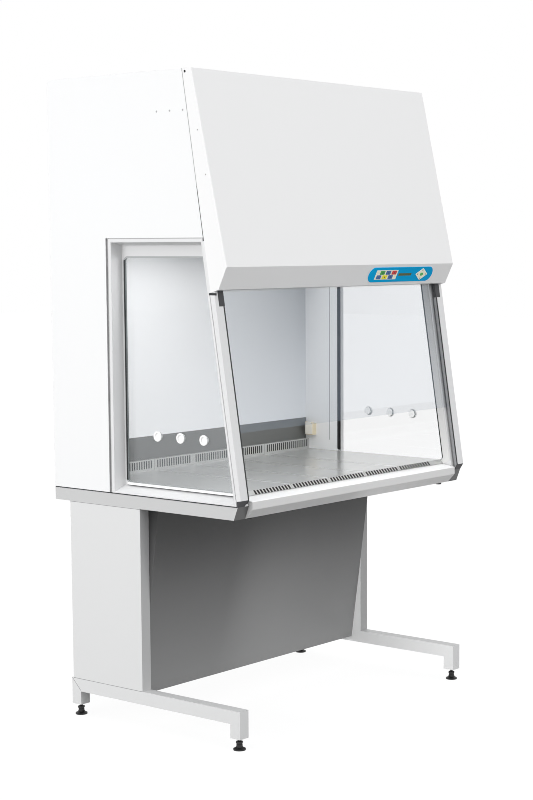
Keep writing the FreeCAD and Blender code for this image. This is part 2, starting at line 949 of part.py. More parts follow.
def lift_pulley(side, place):
    """A flanged belt pulley, at a shaft's place in the guides' frame."""
    half = belt_width / 2 + pulley_side_gap
    rim = pulley_radius - running_gap
    profile = [
        (0, -half - pulley_flange_sheet),
        (rim + pulley_flange, -half - pulley_flange_sheet),
        (rim + pulley_flange, -half),
        (rim, -half),
        (rim, half),
        (rim + pulley_flange, half),
        (rim + pulley_flange, half + pulley_flange_sheet),
        (0, half + pulley_flange_sheet),
    ]
    return turned(profile, place + Vector(side * belt_position, 0, 0), Vector(1, 0, 0))


def lift_shaft(height):
    """A shaft with its two pulleys."""
    place = shaft_place(height)
    end = Vector(chamber_half - bearing_inset + bearing_sheet, 0, 0)
    bar = rod(lift_shaft_radius, place - end, place + end)
    pulleys = [lift_pulley(side, place) for side in (-1, 1)]
    return leaned(joined([bar] + pulleys))


def lift_belts():
    """Two flat belts, each round a driven and an idle pulley."""
    top = shaft_place(lift_shaft_height).z
    low = shaft_place(idler_height).z
    belts = []
    for side in (-1, 1):
        x0 = side * belt_position - belt_width / 2
        loops = []
        for radius in (pulley_radius + belt_sheet, pulley_radius):
            ends = [
                Part.makeCylinder(radius, belt_width, Vector(x0, pulley_axis_depth, run), Vector(1, 0, 0))
                for run in (low, top)
            ]
            middle = box(x0, x0 + belt_width, pulley_axis_depth - radius, pulley_axis_depth + radius, low, top)
            loops.append(joined([middle] + ends))
        belts.append(leaned(loops[0].cut(loops[1])))
    return belts


def shaft_bracket(side, height):
    """A bearing bracket on the header for one end of a lift shaft, in the guides' frame."""
    place = shaft_place(height)
    middle = side * (chamber_half - bearing_inset)
    x0 = middle - bearing_sheet / 2
    front = place.y - bracket_front
    plate = box(x0, x0 + bearing_sheet, front, header_depth, place.z - bracket_reach, place.z + bracket_reach)
    bore = rod(
        lift_shaft_radius + shaft_gap, Vector(x0 - over, place.y, place.z),
        Vector(x0 + bearing_sheet + over, place.y, place.z),
    )
    return plate.cut(bore)


def header_back(height):
    """How far back the header reaches at a height."""
    return lean_y(height, header_depth + inner_sheet)


def plenum_box():
    """Pressure box over the supply filter, with the sloping header that carries the lift."""
    half = chamber_half
    sheet = inner_sheet
    low = filter_bottom + filter_height
    front = header_back(plenum_top) + plenum_front_gap
    shell = box(-half, half, front, chamber_back_face, low, plenum_top)
    hollow = box(-half + sheet, half - sheet, front + sheet, chamber_back_face + over, low - over, plenum_top - sheet)
    x0, x1, y0, y1 = exhaust_edges(-plenum_hole_margin)
    air_hole = box(x0, x1, y0, y1, plenum_top - sheet - over, plenum_top + over)
    tie = box(-half, half, header_back(plenum_top) - sheet, front + sheet, plenum_top - sheet, plenum_top)
    header_low = run_of(idler_height - header_reach, header_depth)
    header_top = run_of(guide_top_height, header_depth)
    header = box(-half, half, header_depth, header_depth + sheet, header_low, header_top)
    brackets = [shaft_bracket(side, height) for side in (-1, 1) for height in (lift_shaft_height, idler_height)]
    leaning = leaned(joined([header] + brackets))
    return joined([shell.cut([hollow, air_hole]), tie, leaning])


def lift_motor():
    """Tubular gear motor round the driven shaft, with its foot on the header."""
    place = shaft_place(lift_shaft_height)
    start = place + Vector(motor_place - motor_length, 0, 0)
    end = place + Vector(motor_place, 0, 0)
    body = rod(motor_radius, start, end)
    foot = box(start.x, end.x, place.y, header_depth, place.z - motor_foot / 2, place.z + motor_foot / 2)
    reach = Vector(over, 0, 0)
    return leaned(joined([body, foot]).cut(rod(lift_shaft_radius + shaft_gap, start - reach, end + reach)))


def supply_filter():
    """Supply filter: aluminium frame round a pleated pack."""
    half = chamber_half - filter_side_gap
    front = header_back(filter_bottom + filter_height) + plenum_front_gap
    return pleated_filter(-half, half, front, chamber_back_face - filter_rear_gap, filter_bottom, filter_height)


def pleated_filter(x0, x1, y0, y1, low, height):
    """A filter block: frame and a zigzag pack inside it, as one solid."""
    inner = (x0 + filter_frame, x1 - filter_frame, y0 + filter_frame, y1 - filter_frame)
    frame = box(x0, x1, y0, y1, low, low + height).cut(box(*inner, low - over, low + height + over))
    pitch = (inner[1] - inner[0]) / filter_pleats
    sheet = pitch * pleat_share
    upper = []
    lower = []
    for index in range(filter_pleats + 1):
        peak = low + height - sheet if index % 2 else low + sheet
        upper.append((inner[0] + index * pitch, peak + sheet))
        lower.append((inner[0] + index * pitch, peak - sheet))
    corners = [Vector(x, inner[2], z) for x, z in upper + lower[::-1]]
    face = Part.Face(Part.makePolygon(corners + corners[:1]))
    return frame.fuse(face.extrude(Vector(0, inner[3] - inner[2], 0)))


def exhaust_filter():
    """Exhaust filter under the top grille."""
    high = cabinet_top - grille_depth - exhaust_filter_gap
    return pleated_filter(*exhaust_edges(0.0), plenum_top, high - plenum_top)


def diffuser_screen():
    """Screen under the supply filter, the ceiling of the work chamber."""
    half = chamber_half
    front = header_back(filter_bottom)
    sheet_top = chamber_ceiling + inner_sheet
    sheet = box(-half, half, front, chamber_back_face, chamber_ceiling, sheet_top)
    rim_front = front + diffuser_front_gap
    rim = box(-half, half, rim_front, chamber_back_face, sheet_top, filter_bottom)
    hole = box(
        -half + diffuser_rim, half - diffuser_rim, rim_front + diffuser_rim, chamber_back_face - diffuser_rim,
        chamber_ceiling, filter_bottom + over,
    )
    return joined([sheet, rim.cut(hole)])


def lamp_tube():
    """Work light under the ceiling, between its two holders."""
    y = header_back(chamber_ceiling) + lamp_radius + lamp_gap
    z = chamber_ceiling - lamp_radius - lamp_gap
    reach = lamp_radius + lamp_holder_wall
    half = lamp_half_length
    tube = rod(lamp_radius, Vector(-half, y, z), Vector(half, y, z))
    holders = [
        box(
            side * half - lamp_holder / 2, side * half + lamp_holder / 2, y - reach, y + reach,
            z - reach, chamber_ceiling,
        )
        for side in (-1, 1)
    ]
    return joined([tube] + holders)


def impeller_blade(index):
    """One flat backward leaning blade, standing on the impeller's rear disc."""
    inner = impeller_eye + blade_root_gap
    outer = impeller_radius - blade_tip_gap
    start = 2 * math.pi * index / impeller_blades
    end = start + math.radians(blade_sweep)
    root = Vector(inner * math.cos(start), 0, inner * math.sin(start))
    tip = Vector(outer * math.cos(end), 0, outer * math.sin(end))
    across_blade = (tip - root).normalize().cross(Vector(0, 1, 0)) * blade_sheet
    corners = [root, tip, tip + across_blade, root + across_blade]
    face = Part.Face(Part.makePolygon(corners + corners[:1]))
    return face.extrude(Vector(0, impeller_width - 2 * impeller_disc, 0))


def impeller_rear():
    """Where the impeller's intake side lies along Y."""
    return chamber_back_face - fan_rear_gap


def blower_impeller():
    """Blower wheel: rear disc with hub, curved blades and the ring round the eye."""
    disc_y = impeller_rear() - impeller_width
    axis = Vector(0, 1, 0)
    centre = Vector(0, disc_y, impeller_height)
    disc = Part.makeCylinder(impeller_radius, impeller_disc, centre, axis)
    hub = Part.makeCylinder(fan_hub_radius, impeller_width * hub_share, centre, axis)
    ring_start = centre + Vector(0, impeller_width - impeller_disc, 0)
    ring = Part.makeCylinder(impeller_radius, impeller_disc, ring_start, axis)
    eye = Part.makeCylinder(impeller_eye, impeller_disc + 2 * over, ring_start - axis * over, axis)
    blades = []
    for index in range(impeller_blades):
        blade = impeller_blade(index)
        blade.translate(centre + Vector(0, impeller_disc, 0))
        blades.append(blade)
    bore = Part.makeCylinder(fan_shaft_radius + shaft_gap, impeller_width, centre - axis * over, axis)
    return joined([disc, hub, ring.cut(eye)] + blades).cut(bore)


def blower_motor():
    """Fan motor with its shaft, on two rails across the plenum."""
    disc_y = impeller_rear() - impeller_width
    axis = Vector(0, 1, 0)
    front = disc_y - fan_motor_gap - fan_motor_length
    body = Part.makeCylinder(fan_motor_radius, fan_motor_length, Vector(0, front, impeller_height), axis)
    shaft = Part.makeCylinder(
        fan_shaft_radius, fan_motor_length + impeller_width * hub_share, Vector(0, front, impeller_height), axis,
    )
    half = chamber_half - inner_sheet
    y0 = front + fan_rail_set_back
    rise = fan_motor_radius - fan_rail_bite
    rails = [
        box(
            -half, half, y0, y0 + fan_rail, impeller_height + side * rise - fan_rail / 2,
            impeller_height + side * rise + fan_rail / 2,
        )
        for side in (-1, 1)
    ]
    return joined([body, shaft] + rails)


def panel_outline(length, height):
    """A flat capsule in the chin's plane, as a wire."""
    radius = height / 2
    half = length / 2 - radius
    edges = [
        Part.makeLine(Vector(-half, 0, -radius), Vector(half, 0, -radius)),
        Part.Arc(Vector(half, 0, -radius), Vector(half + radius, 0, 0), Vector(half, 0, radius)).toShape(),
        Part.makeLine(Vector(half, 0, radius), Vector(-half, 0, radius)),
        Part.Arc(Vector(-half, 0, radius), Vector(-half - radius, 0, 0), Vector(-half, 0, -radius)).toShape(),
    ]
    return Part.Wire(edges)


def key_places():
    """Middles of the six keys in the chin's frame, top row first."""
    rise = (key_height + key_row_gap) / 2
    top = [(key_first + key_stagger + index * key_pitch, rise) for index in range(3)]
    low = [(key_first + index * key_pitch, -rise) for index in range(3)]
    return top + low


def key_block(x, z, grow, y0, y1):
    """A rounded key, or the hole for it."""
    half = key_width / 2 + grow
    rise = key_height / 2 + grow
    block = box(x - half, x + half, y0, y1, z - rise, z + rise)
    return block.makeFillet(key_corner + grow, edges_along(block, Vector(0, 1, 0), lambda middle: True))


def select_block(grow, y0, y1):
    """The oval select button, or the hole for it."""
    oval = Part.Ellipse(Vector(0, 0, 0), select_width / 2 + grow, select_height / 2 + grow).toShape()
    solid = Part.Face(Part.Wire([oval])).extrude(Vector(0, 0, y1 - y0))
    solid.rotate(Vector(0, 0, 0), Vector(1, 0, 0), -90)
    solid.translate(Vector(select_place, y0, 0))
    return solid


def control_panel():
    """Capsule plate on the chin, with holes for the keys and a seat for the display."""
    face = Part.Face(panel_outline(panel_length, panel_height))
    plate = face.extrude(Vector(0, -panel_sheet, 0))
    plate.translate(Vector(panel_centre, 0, 0))
    rim = [edge for edge in plate.Edges if edge.BoundBox.YMax < -panel_sheet / 2]
    plate = plate.makeChamfer(panel_edge, rim)
    cuts = [key_block(x, z, running_gap, -panel_sheet - over, over) for x, z in key_places()]
    cuts.append(select_block(running_gap, -panel_sheet - over, over))
    cuts.append(display_block(-panel_sheet - over, -panel_sheet + display_sheet))
    return on_chin(plate.cut(cuts))


def display_block(y0, y1):
    """The display's outline as a block."""
    half = display_width / 2
    rise = display_height / 2
    return box(display_place - half, display_place + half, y0, y1, -rise, rise)


def display_window():
    """Clear window of the display, flush with the panel."""
    return on_chin(display_block(-panel_sheet, -panel_sheet + display_sheet))


def panel_key(x, z):
    """One push key, standing proud of the panel."""
    front = -panel_sheet - key_rise
    block = key_block(x, z, 0.0, front, -key_travel - key_under_gap)
    rim = [edge for edge in block.Edges if edge.BoundBox.YMax < front + key_edge / 2]
    return on_chin(block.makeChamfer(key_edge, rim))


def select_button():
    """Oval select button in the middle of the arrow pad."""
    return on_chin(select_block(0.0, -panel_sheet - key_rise, -key_travel - key_under_gap))


def lid_pin_place(y):
    """A point on the socket lid's hinge line."""
    x = chamber_half - socket_depth - lid_sheet / 2 - running_gap
    return Vector(x, y, socket_bottom + socket_height + lid_pin_radius)


def socket_ear(y):
    """One ear of the lid's hinge, on top of the socket's housing."""
    pin = lid_pin_place(y)
    top = socket_bottom + socket_height
    reach = lid_pin_radius + ear_wall
    foot = box(pin.x, pin.x + reach + ear_reach, y, y + ear_sheet, top, pin.z + reach)
    ear = foot.fuse(rod(reach, pin, pin + Vector(0, ear_sheet, 0)))
    along = Vector(0, over, 0)
    return ear.cut(rod(lid_pin_radius + shaft_gap, pin - along, pin + Vector(0, ear_sheet, 0) + along))


def socket_box():
    """Mains socket housing on the right wall of the chamber, with its well and hinge ears."""
    y0 = socket_rear - socket_width
    front = chamber_half - socket_depth
    body = box(front, chamber_half, y0, socket_rear, socket_bottom, socket_bottom + socket_height)
    body = body.makeFillet(socket_corner, edges_along(body, Vector(0, 0, 1), lambda middle: middle.x < front + over))
    middle = Vector(front - over, socket_rear - socket_width / 2, socket_bottom + socket_height / 2)
    well = Part.makeCylinder(socket_width / 2 - socket_rim, socket_depth - socket_floor + over, middle, Vector(1, 0, 0))
    ears = [socket_ear(y0 + lid_inset), socket_ear(socket_rear - lid_inset - ear_sheet)]
    return joined([body.cut(well)] + ears)


def socket_lid():
    """Flap over the socket, with its hinge pin."""
    y0 = socket_rear - socket_width + lid_inset
    y1 = socket_rear - lid_inset
    pin = lid_pin_place(y0)
    front = pin.x - lid_sheet / 2
    bar = rod(lid_pin_radius, pin, pin + Vector(0, y1 - y0, 0))
    flap_top = pin.z - lid_pin_radius - ear_wall - running_gap
    flap = box(front, front + lid_sheet, y0, y1, socket_bottom + lid_foot_gap, flap_top)
    side_gap = ear_sheet + running_gap
    tab = box(front, front + lid_sheet, y0 + side_gap, y1 - side_gap, flap_top - over, pin.z)
    return joined([bar, flap, tab])


def foot_beam():
    """Right foot of the stand: a square tube with a downturned stub at each end."""
    x1 = half_width
    x0 = x1 - beam_width
    outline = [
        (beam_front, stub_bottom),
        (beam_front, beam_top),
        (beam_rear, beam_top),
        (beam_rear, stub_bottom),
        (beam_rear - stub_length, stub_bottom),
        (beam_rear - stub_length, beam_top - beam_height),
        (beam_front + stub_length, beam_top - beam_height),
        (beam_front + stub_length, stub_bottom),
    ]
    body = across(outline, x0, x1)
    bores = [
        rod(foot_stem_radius + shaft_gap, Vector(foot_x(), y, stub_bottom - over), Vector(foot_x(), y, foot_bore_top))
        for y in foot_rows()
    ]
    return body.cut(bores)


def foot_x():
    """Distance of the levelling feet from the middle of the stand."""
    return half_width - beam_width / 2


def foot_rows():
    """Where the front and the rear levelling feet lie along Y."""
    return (beam_front + stub_length / 2, beam_rear - stub_length / 2)


def levelling_foot(x, y):
    """A moulded pad with its neck and threaded stem."""
    profile = [
        (0, 0),
        (pad_radius, 0),
        (pad_radius, pad_rim),
        (pad_neck_radius, pad_rim + pad_cone),
        (pad_neck_radius, foot_nut_height),
        (foot_stem_radius, foot_nut_height),
        (foot_stem_radius, foot_stem_top),
        (0, foot_stem_top),
    ]
    return turned(profile, Vector(x, y, 0), Vector(0, 0, 1))


def stand_column():
    """Right column of the stand, a flat steel box between foot and slab."""
    x1 = half_width
    x0 = x1 - beam_width
    body = box(x0, x1, column_front, column_rear, beam_top, slab_bottom)
    edges = edges_along(body, Vector(0, 0, 1), lambda middle: True)
    return body.makeFillet(column_edge, edges)


def knee_panel():
    """Leaning panel between the columns, with side flanges screwed to them."""
    half = half_width - beam_width - knee_panel_gap
    sheet = inner_sheet
    top = slab_bottom
    front = [
        (knee_panel_top_front, top),
        (knee_panel_bottom_front, knee_panel_bottom),
        (knee_panel_bottom_front + sheet, knee_panel_bottom),
        (knee_panel_top_front + sheet, top),
    ]
    skin = across(front, -half, half)
    flange = [
        (knee_panel_top_front, top),
        (knee_panel_bottom_front, knee_panel_bottom),
        (knee_panel_bottom_front + knee_panel_flange, knee_panel_bottom),
        (knee_panel_bottom_front + knee_panel_flange, top),
    ]
    flanges = [across(flange, side * half, side * (half - sheet)) for side in (-1, 1)]
    hem_rear = knee_panel_bottom_front + knee_panel_hem
    hem = box(-half, half, knee_panel_bottom_front, hem_rear, knee_panel_bottom, knee_panel_bottom + sheet)
    return joined([skin, hem] + flanges)


def both(shape):
    """A right piece and its left twin."""
    return shape, mirrored(shape)


def write(name, solids):
    """Write one node, made of one solid or of several separate ones."""
    shape = solids if isinstance(solids, Part.Shape) else Part.makeCompound(solids)
    shape.exportStep("parts/" + name + ".step")


def write_pair(name, shape):
    """Write a right piece and its left twin as two nodes."""
    right, left = both(shape)
    write(name + "_right", right)
    write(name + "_left", left)


def write_twins(name, solids):
    """Write right pieces and their left twins together as one node."""
    write(name, list(solids) + [mirrored(solid) for solid in solids])


def main():
    """Build and write every node."""
    os.makedirs("parts", exist_ok=True)
    write_pair("side_panel", side_panel())
    write_pair("window_surround", window_surround())
    write_pair("chamber_side", chamber_side())
    write_pair("side_glass", side_glass())
    write_twins("glass_gaskets", [glass_gasket()])
    write_twins("port_plugs", port_plugs())
    write("back_panel", back_panel())
    write("power_inlet", power_inlet())
    write("top_panel", top_panel())
    write("exhaust_grille", exhaust_grille())
    write("front_hood", front_hood())
    write("armrest", armrest())
    write("armrest_latches", armrest_latches())
    write("base_slab", base_slab())
    write("worktop_trays", worktop_trays())
    write("drip_pan", drip_pan())
    write("chamber_back", chamber_back())
    write("back_splash", back_splash())
    write_pair("sash_guide", sash_guide())
    write_twins("guide_end_pieces", guide_end_pieces())
    write_twins("guide_seals", [guide_seal()])
    write("sash_glass", sash_glass())
    write("sash_hanger", sash_hanger())
    write("lift_shaft", lift_shaft(lift_shaft_height))
    write("idler_shaft", lift_shaft(idler_height))
    write("lift_belts", lift_belts())
    write("lift_motor", lift_motor())
    write("plenum_box", plenum_box())
    write("supply_filter", supply_filter())
    write("exhaust_filter", exhaust_filter())
    write("diffuser_screen", diffuser_screen())
    write("lamp_tube", lamp_tube())
    write("blower_impeller", blower_impeller())
    write("blower_motor", blower_motor())
    write("control_panel", control_panel())
    write("display_window", display_window())
    names = ("fan", "light", "alarm", "socket", "timer", "standby")
    for name, (x, z) in zip(names, key_places()):
        write("key_" + name, panel_key(x, z))
    write("select_button", select_button())
    write("socket_box", socket_box())
    write("socket_lid", socket_lid())
    write_pair("foot_beam", foot_beam())
    write_pair("stand_column", stand_column())
    write("knee_panel", knee_panel())
    for row, y in zip(("front", "rear"), foot_rows()):
        write("levelling_foot_" + row + "_right", levelling_foot(foot_x(), y))
        write("levelling_foot_" + row + "_left", levelling_foot(-foot_x(), y))


main()
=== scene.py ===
"""Looks of a biological safety cabinet on its stand, dressed over its packed construction."""

import json
import logging
import math
from collections.abc import Callable
from dataclasses import dataclass, field
from enum import Enum
from typing import ClassVar

import bmesh
import bpy
from mathutils import Matrix, Vector

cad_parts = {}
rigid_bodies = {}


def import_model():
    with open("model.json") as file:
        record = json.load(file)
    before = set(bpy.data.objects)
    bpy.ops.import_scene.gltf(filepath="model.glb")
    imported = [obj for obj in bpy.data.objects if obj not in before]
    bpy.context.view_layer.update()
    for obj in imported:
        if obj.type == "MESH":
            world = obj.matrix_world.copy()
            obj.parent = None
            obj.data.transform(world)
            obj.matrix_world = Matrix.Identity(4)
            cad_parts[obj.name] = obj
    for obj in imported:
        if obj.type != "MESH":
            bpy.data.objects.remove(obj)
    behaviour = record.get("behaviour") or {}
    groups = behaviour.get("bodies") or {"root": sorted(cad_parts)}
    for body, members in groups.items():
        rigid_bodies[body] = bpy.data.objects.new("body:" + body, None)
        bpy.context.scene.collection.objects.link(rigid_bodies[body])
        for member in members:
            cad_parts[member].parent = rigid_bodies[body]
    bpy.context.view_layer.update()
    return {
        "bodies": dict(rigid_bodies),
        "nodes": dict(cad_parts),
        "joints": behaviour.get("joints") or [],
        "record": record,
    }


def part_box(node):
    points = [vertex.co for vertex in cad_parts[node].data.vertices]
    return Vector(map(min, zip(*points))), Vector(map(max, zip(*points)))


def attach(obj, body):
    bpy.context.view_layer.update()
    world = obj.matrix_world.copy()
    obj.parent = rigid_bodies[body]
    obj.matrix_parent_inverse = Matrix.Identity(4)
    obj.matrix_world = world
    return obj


log = logging.getLogger("cabinet")

Colour = tuple[float, float, float, float]
Point = tuple[float, float, float]
Pair = tuple[float, float]
Shape = bmesh.types.BMesh
Edges = list[bmesh.types.BMEdge]
Material = bpy.types.Material

PIXEL_FILTER = 0.9
CABINET = "cabinet"
LEFT, RIGHT = -1, 1
SIDES = (LEFT, RIGHT)
QUARTER_TURN = math.pi / 2
FULL_TURN = 2 * math.pi
LEAN = math.radians(9.0)
FRAME: dict[str, object] = {}


class Grain(Enum):
    """Direction in which a metal is brushed, as the stretch of its noise on each axis."""

    ALONG_X = (0.02, 1.0, 1.0)
    ALONG_Z = (1.0, 1.0, 0.02)


class KeyMark(Enum):
    """Plain shape printed on a push key."""

    DOT = "dot"
    BAR = "bar"
    RING = "ring"
    SQUARE = "square"


def linear(red: float, green: float, blue: float) -> Colour:
    """Turn a screen colour, each channel 0 to 255, into the shader's linear colour."""
    return (*(((value / 255 + 0.055) / 1.055) ** 2.4 for value in (red, green, blue)), 1.0)


def paint(red: float, green: float, blue: float) -> Colour:
    """A linear colour with full alpha."""
    return (red, green, blue, 1.0)


def grey(level: float) -> Colour:
    """A linear grey with full alpha."""
    return paint(level, level, level)


def scaled(colour: Colour, factor: float, lift: float = 0.0) -> Colour:
    """A colour times a factor plus a lift, no brighter than white."""
    return (*(min(1.0, channel * factor + lift) for channel in colour[:3]), 1.0)


def math_node(operation: str) -> Callable[..., "Value"]:
    """Write a method that adds a Math node.

    Args:
        operation: the Math node's operation.

    Returns:
        The method. It takes a number or a wrapped socket, or nothing where one value is enough.
    """

    def method(left: "Value", right: object = None) -> "Value":
        """Add the node."""
        values = {0: left} if right is None else {0: left, 1: right}
        return left.graph.node("Math", values, operation=operation)

    return method


class Value:
    """A shader socket that takes part in sums, so that maths reads as plain expressions.

    A comparison gives one where it holds and else zero, and size is the absolute value.
    """

    def __init__(self, graph: "Graph", socket: bpy.types.NodeSocket) -> None:
        """Wrap an output socket of a graph's node."""
        self.graph = graph
        self.socket = socket

    __add__ = math_node("ADD")
    __sub__ = math_node("SUBTRACT")
    __mul__ = math_node("MULTIPLY")
    __truediv__ = math_node("DIVIDE")
    __lt__ = math_node("LESS_THAN")
    __gt__ = math_node("GREATER_THAN")
    power = math_node("POWER")
    size = math_node("ABSOLUTE")
    sine = math_node("SINE")

    def __rsub__(self, other: float) -> "Value":
        """Difference from a plain number."""
        return self * -1.0 + other

    def clamped(self) -> "Value":
        """The value kept between zero and one."""
        return self.graph.node("Clamp", {0: self})

    def between(self, low: float, high: float) -> "Value":
        """Zero up to the low end, one from the high end, and a straight rise between them."""
        return ((self - low) / (high - low)).clamped()


DUST = paint(0.6, 0.61, 0.62)


@dataclass(frozen=True)
class Gloss:
    """How a sheet's paint shines: roughness, orange peel, clear coat, and dust that dulls it."""

    roughness: float = 0.28
    peel: float = 0.00003
    strength: float = 0.2
    cloud: float = 4.0
    dust: float = 0.04
    coat: float = 0.08


class Graph:
    """The node tree of one material."""

    def __init__(self, name: str) -> None:
        """Start an empty material.

        Args:
            name: the material's name.
        """
        self.material = bpy.data.materials.new(name)
        self.material.use_nodes = True
        self.tree = self.material.node_tree
        self.tree.nodes.clear()

    @classmethod
    def of_tree(cls, tree: bpy.types.NodeTree) -> "Graph":
        """Write into a tree that exists.

        Args:
            tree: the tree, such as the world's.

        Returns:
            The graph, without a material.
        """
        graph = cls.__new__(cls)
        graph.material = None
        graph.tree = tree
        return graph

    def node(
        self, kind: str, values: dict[object, object], out: object = 0, **settings: str
    ) -> Value:
        """Add a node.

        Args:
            kind: the node's type name, without its ShaderNode.
            values: numbers, colours or wrapped sockets for its inputs.
            out: the output socket to wrap.
            settings: properties set before the sockets.

        Returns:
            The wrapped output.
        """
        made = self.tree.nodes.new("ShaderNode" + kind)
        for name, setting in settings.items():
            setattr(made, name, setting)
        for key, value in values.items():
            if isinstance(value, Value):
                self.tree.links.new(value.socket, made.inputs[key])
            else:
                made.inputs[key].default_value = value
        return Value(self, made.outputs[out])

    def place(self, kind: str = "Object") -> Value:
        """The object's own coordinates in metres, or its own normal."""
        return self.node("TexCoord", {}, kind)

    def axes(self, kind: str = "Object") -> tuple[Value, Value, Value]:
        """Split the object's own coordinates, or its own normal.

        Args:
            kind: "Object" or "Normal".

        Returns:
            The three parts.
        """
        split = self.node("SeparateXYZ", {0: self.place(kind)})
        outputs = split.socket.node.outputs
        return tuple(Value(self, outputs[index]) for index in range(3))

    def noise(self, scale: float, detail: float = 2.0, stretch: Point = (1, 1, 1)) -> Value:
        """Noise over the object's coordinates, its scale in cycles a metre."""
        place = self.node("Mapping", {"Vector": self.place(), "Scale": stretch})
        return self.node("TexNoise", {"Vector": place, "Scale": scale, "Detail": detail})

    def mix(self, factor: object, first: object, second: object) -> Value:
        """Blend two colours by a factor."""
        return self.node("Mix", {0: factor, 6: first, 7: second}, 2, data_type="RGBA")

    def bump(self, height: Value, strength: float, distance: float) -> Value:
        """A normal from a height in metres."""
        values = {"Height": height, "Strength": strength, "Distance": distance}
        return self.node("Bump", values)

    def surface(self, values: dict[str, object]) -> Material:
        """Finish the material with a Principled shader of these input values."""
        return self.finished(self.node("BsdfPrincipled", values))

    def finished(self, shader: Value) -> Material:
        """Lead a shader to the material's output."""
        self.lead(shader, "Material")
        return self.material

    def lead(self, shader: Value, target: str) -> None:
        """Lead a shader to the tree's output, of the material or of the world."""
        output = self.tree.nodes.new("ShaderNodeOutput" + target)
        self.tree.links.new(shader.socket, output.inputs[0])

    def painted(self, colour: object, gloss: Gloss) -> Material:
        """Finish the material as painted sheet.

        Args:
            colour: the paint's colour, plain or wrapped.
            gloss: how the paint shines.

        Returns:
            The material.
        """
        soft = self.mix(self.noise(gloss.cloud, 3.0) * gloss.dust, colour, DUST)
        rough = self.noise(60.0) * 0.08 + gloss.roughness
        normal = self.bump(self.noise(900.0, 1.0), gloss.strength, gloss.peel)
        values = {"Base Color": soft, "Roughness": rough, "Normal": normal}
        return self.surface({**values, "Coat Weight": gloss.coat})

    def rubber(self, colour: object) -> Material:
        """Finish the material as matt seal rubber of a colour."""
        normal = self.bump(self.noise(900.0), 0.3, 0.00004)
        return self.surface({"Base Color": colour, "Roughness": 0.6, "Normal": normal})


@dataclass(frozen=True)
class Finish:
    """A named surface."""

    name: str

    def build(self) -> Material:
        """Make the material."""
        raise NotImplementedError


@dataclass(frozen=True)
class PowderCoat(Finish):
    """Painted sheet steel; its front may take a darker tone of painted shade, its top a tone of
    painted light and shade, and its lower part a lighter tone of painted light that fades into the
    main one higher up.
    """

    colour: Colour
    front_shade_colour: Colour | None = None
    top_light_and_shade_colour: Colour | None = None
    lit_low_colour: Colour | None = None
    low: float = 0.0
    high: float = 1.0
    gloss: Gloss = Gloss(0.34, 0.00004, 0.25, 3.0)
    facing: float = 0.5

    def build(self) -> Material:
        """Make the material.

        Returns:
            The finished material.
        """
        graph = Graph(self.name)
        colour: object = self.colour
        _, y_normal, z_normal = graph.axes("Normal")
        # Painted shade on faces that look forward.
        if self.front_shade_colour:
            colour = graph.mix(y_normal < -self.facing, colour, self.front_shade_colour)
        # Painted light and shade on faces that look up.
        if self.top_light_and_shade_colour:
            colour = graph.mix(z_normal > self.facing, colour, self.top_light_and_shade_colour)
        # Painted light and shade by height: the lower tone fades into the main tone higher up.
        if self.lit_low_colour:
            fade = graph.axes()[2].between(self.low, self.high)
            colour = graph.mix(fade, self.lit_low_colour, self.colour)
        return graph.painted(colour, self.gloss)


@dataclass(frozen=True)
class LinerCoat(Finish):
    """Painted liner whose jambs by the sash take a grey of painted shade, made paler towards the
    worktop as painted light.
    """

    colour: Colour
    jamb_shade: Colour
    reach: float
    worktop_light_gain: float = 1.9
    fade: float = 0.65

    def build(self) -> Material:
        """Make the material.

        Returns:
            The finished material.
        """
        graph = Graph(self.name)
        _, y_place, z_place = graph.axes()
        foot = Front.foot()
        depth = y_place - foot.y - (z_place - foot.z) * math.tan(LEAN)
        level = Deck.level()
        height = z_place.between(level, level + self.fade)
        # Painted shade on the jambs, lifted towards the worktop as painted light.
        shade = graph.mix(height, scaled(self.jamb_shade, self.worktop_light_gain), self.jamb_shade)
        return graph.painted(graph.mix(depth < self.reach, self.colour, shade), Gloss())


@dataclass(frozen=True)
class BackWallCoat(Finish):
    """Painted back wall with painted light and shade: pale at its left end, and greyer towards the
    top of its right end.
    """

    left: Colour
    right_low: Colour
    right_high: Colour
    reach: float
    low: float
    high: float

    def build(self) -> Material:
        """Make the material.

        Returns:
            The finished material.
        """
        graph = Graph(self.name)
        x_place, _, z_place = graph.axes()
        # Painted light at the left end, painted shade towards the top of the right end.
        height = z_place.between(self.low, self.high)
        right = graph.mix(height, self.right_low, self.right_high)
        colour = graph.mix(x_place.between(-self.reach, self.reach), self.left, right)
        return graph.painted(colour, Gloss(dust=0.0, coat=0.05))


@dataclass(frozen=True)
class BrushedSteel(Finish):
    """Sheet or turned metal with brush lines."""

    colour: Colour
    grain: Grain = Grain.ALONG_X
    roughness: float = 0.32
    depth: float = 0.00003
    contrast: float = 0.45
    metal: float = 1.0

    def build(self) -> Material:
        """Make the material.

        Returns:
            The finished material.
        """
        graph = Graph(self.name)
        lines = graph.noise(700.0, 3.0, self.grain.value)
        broad = graph.noise(5.0)
        dark = scaled(self.colour, 0.8)
        colour = graph.mix((lines + broad * 0.4) * self.contrast, self.colour, dark)
        spread = (lines * 0.16 + broad * 0.08) * self.contrast * 2.0
        normal = graph.bump(lines, 0.3, self.depth)
        values = {"Base Color": colour, "Roughness": spread + (self.roughness - 0.1)}
        return graph.surface({**values, "Metallic": self.metal, "Normal": normal})


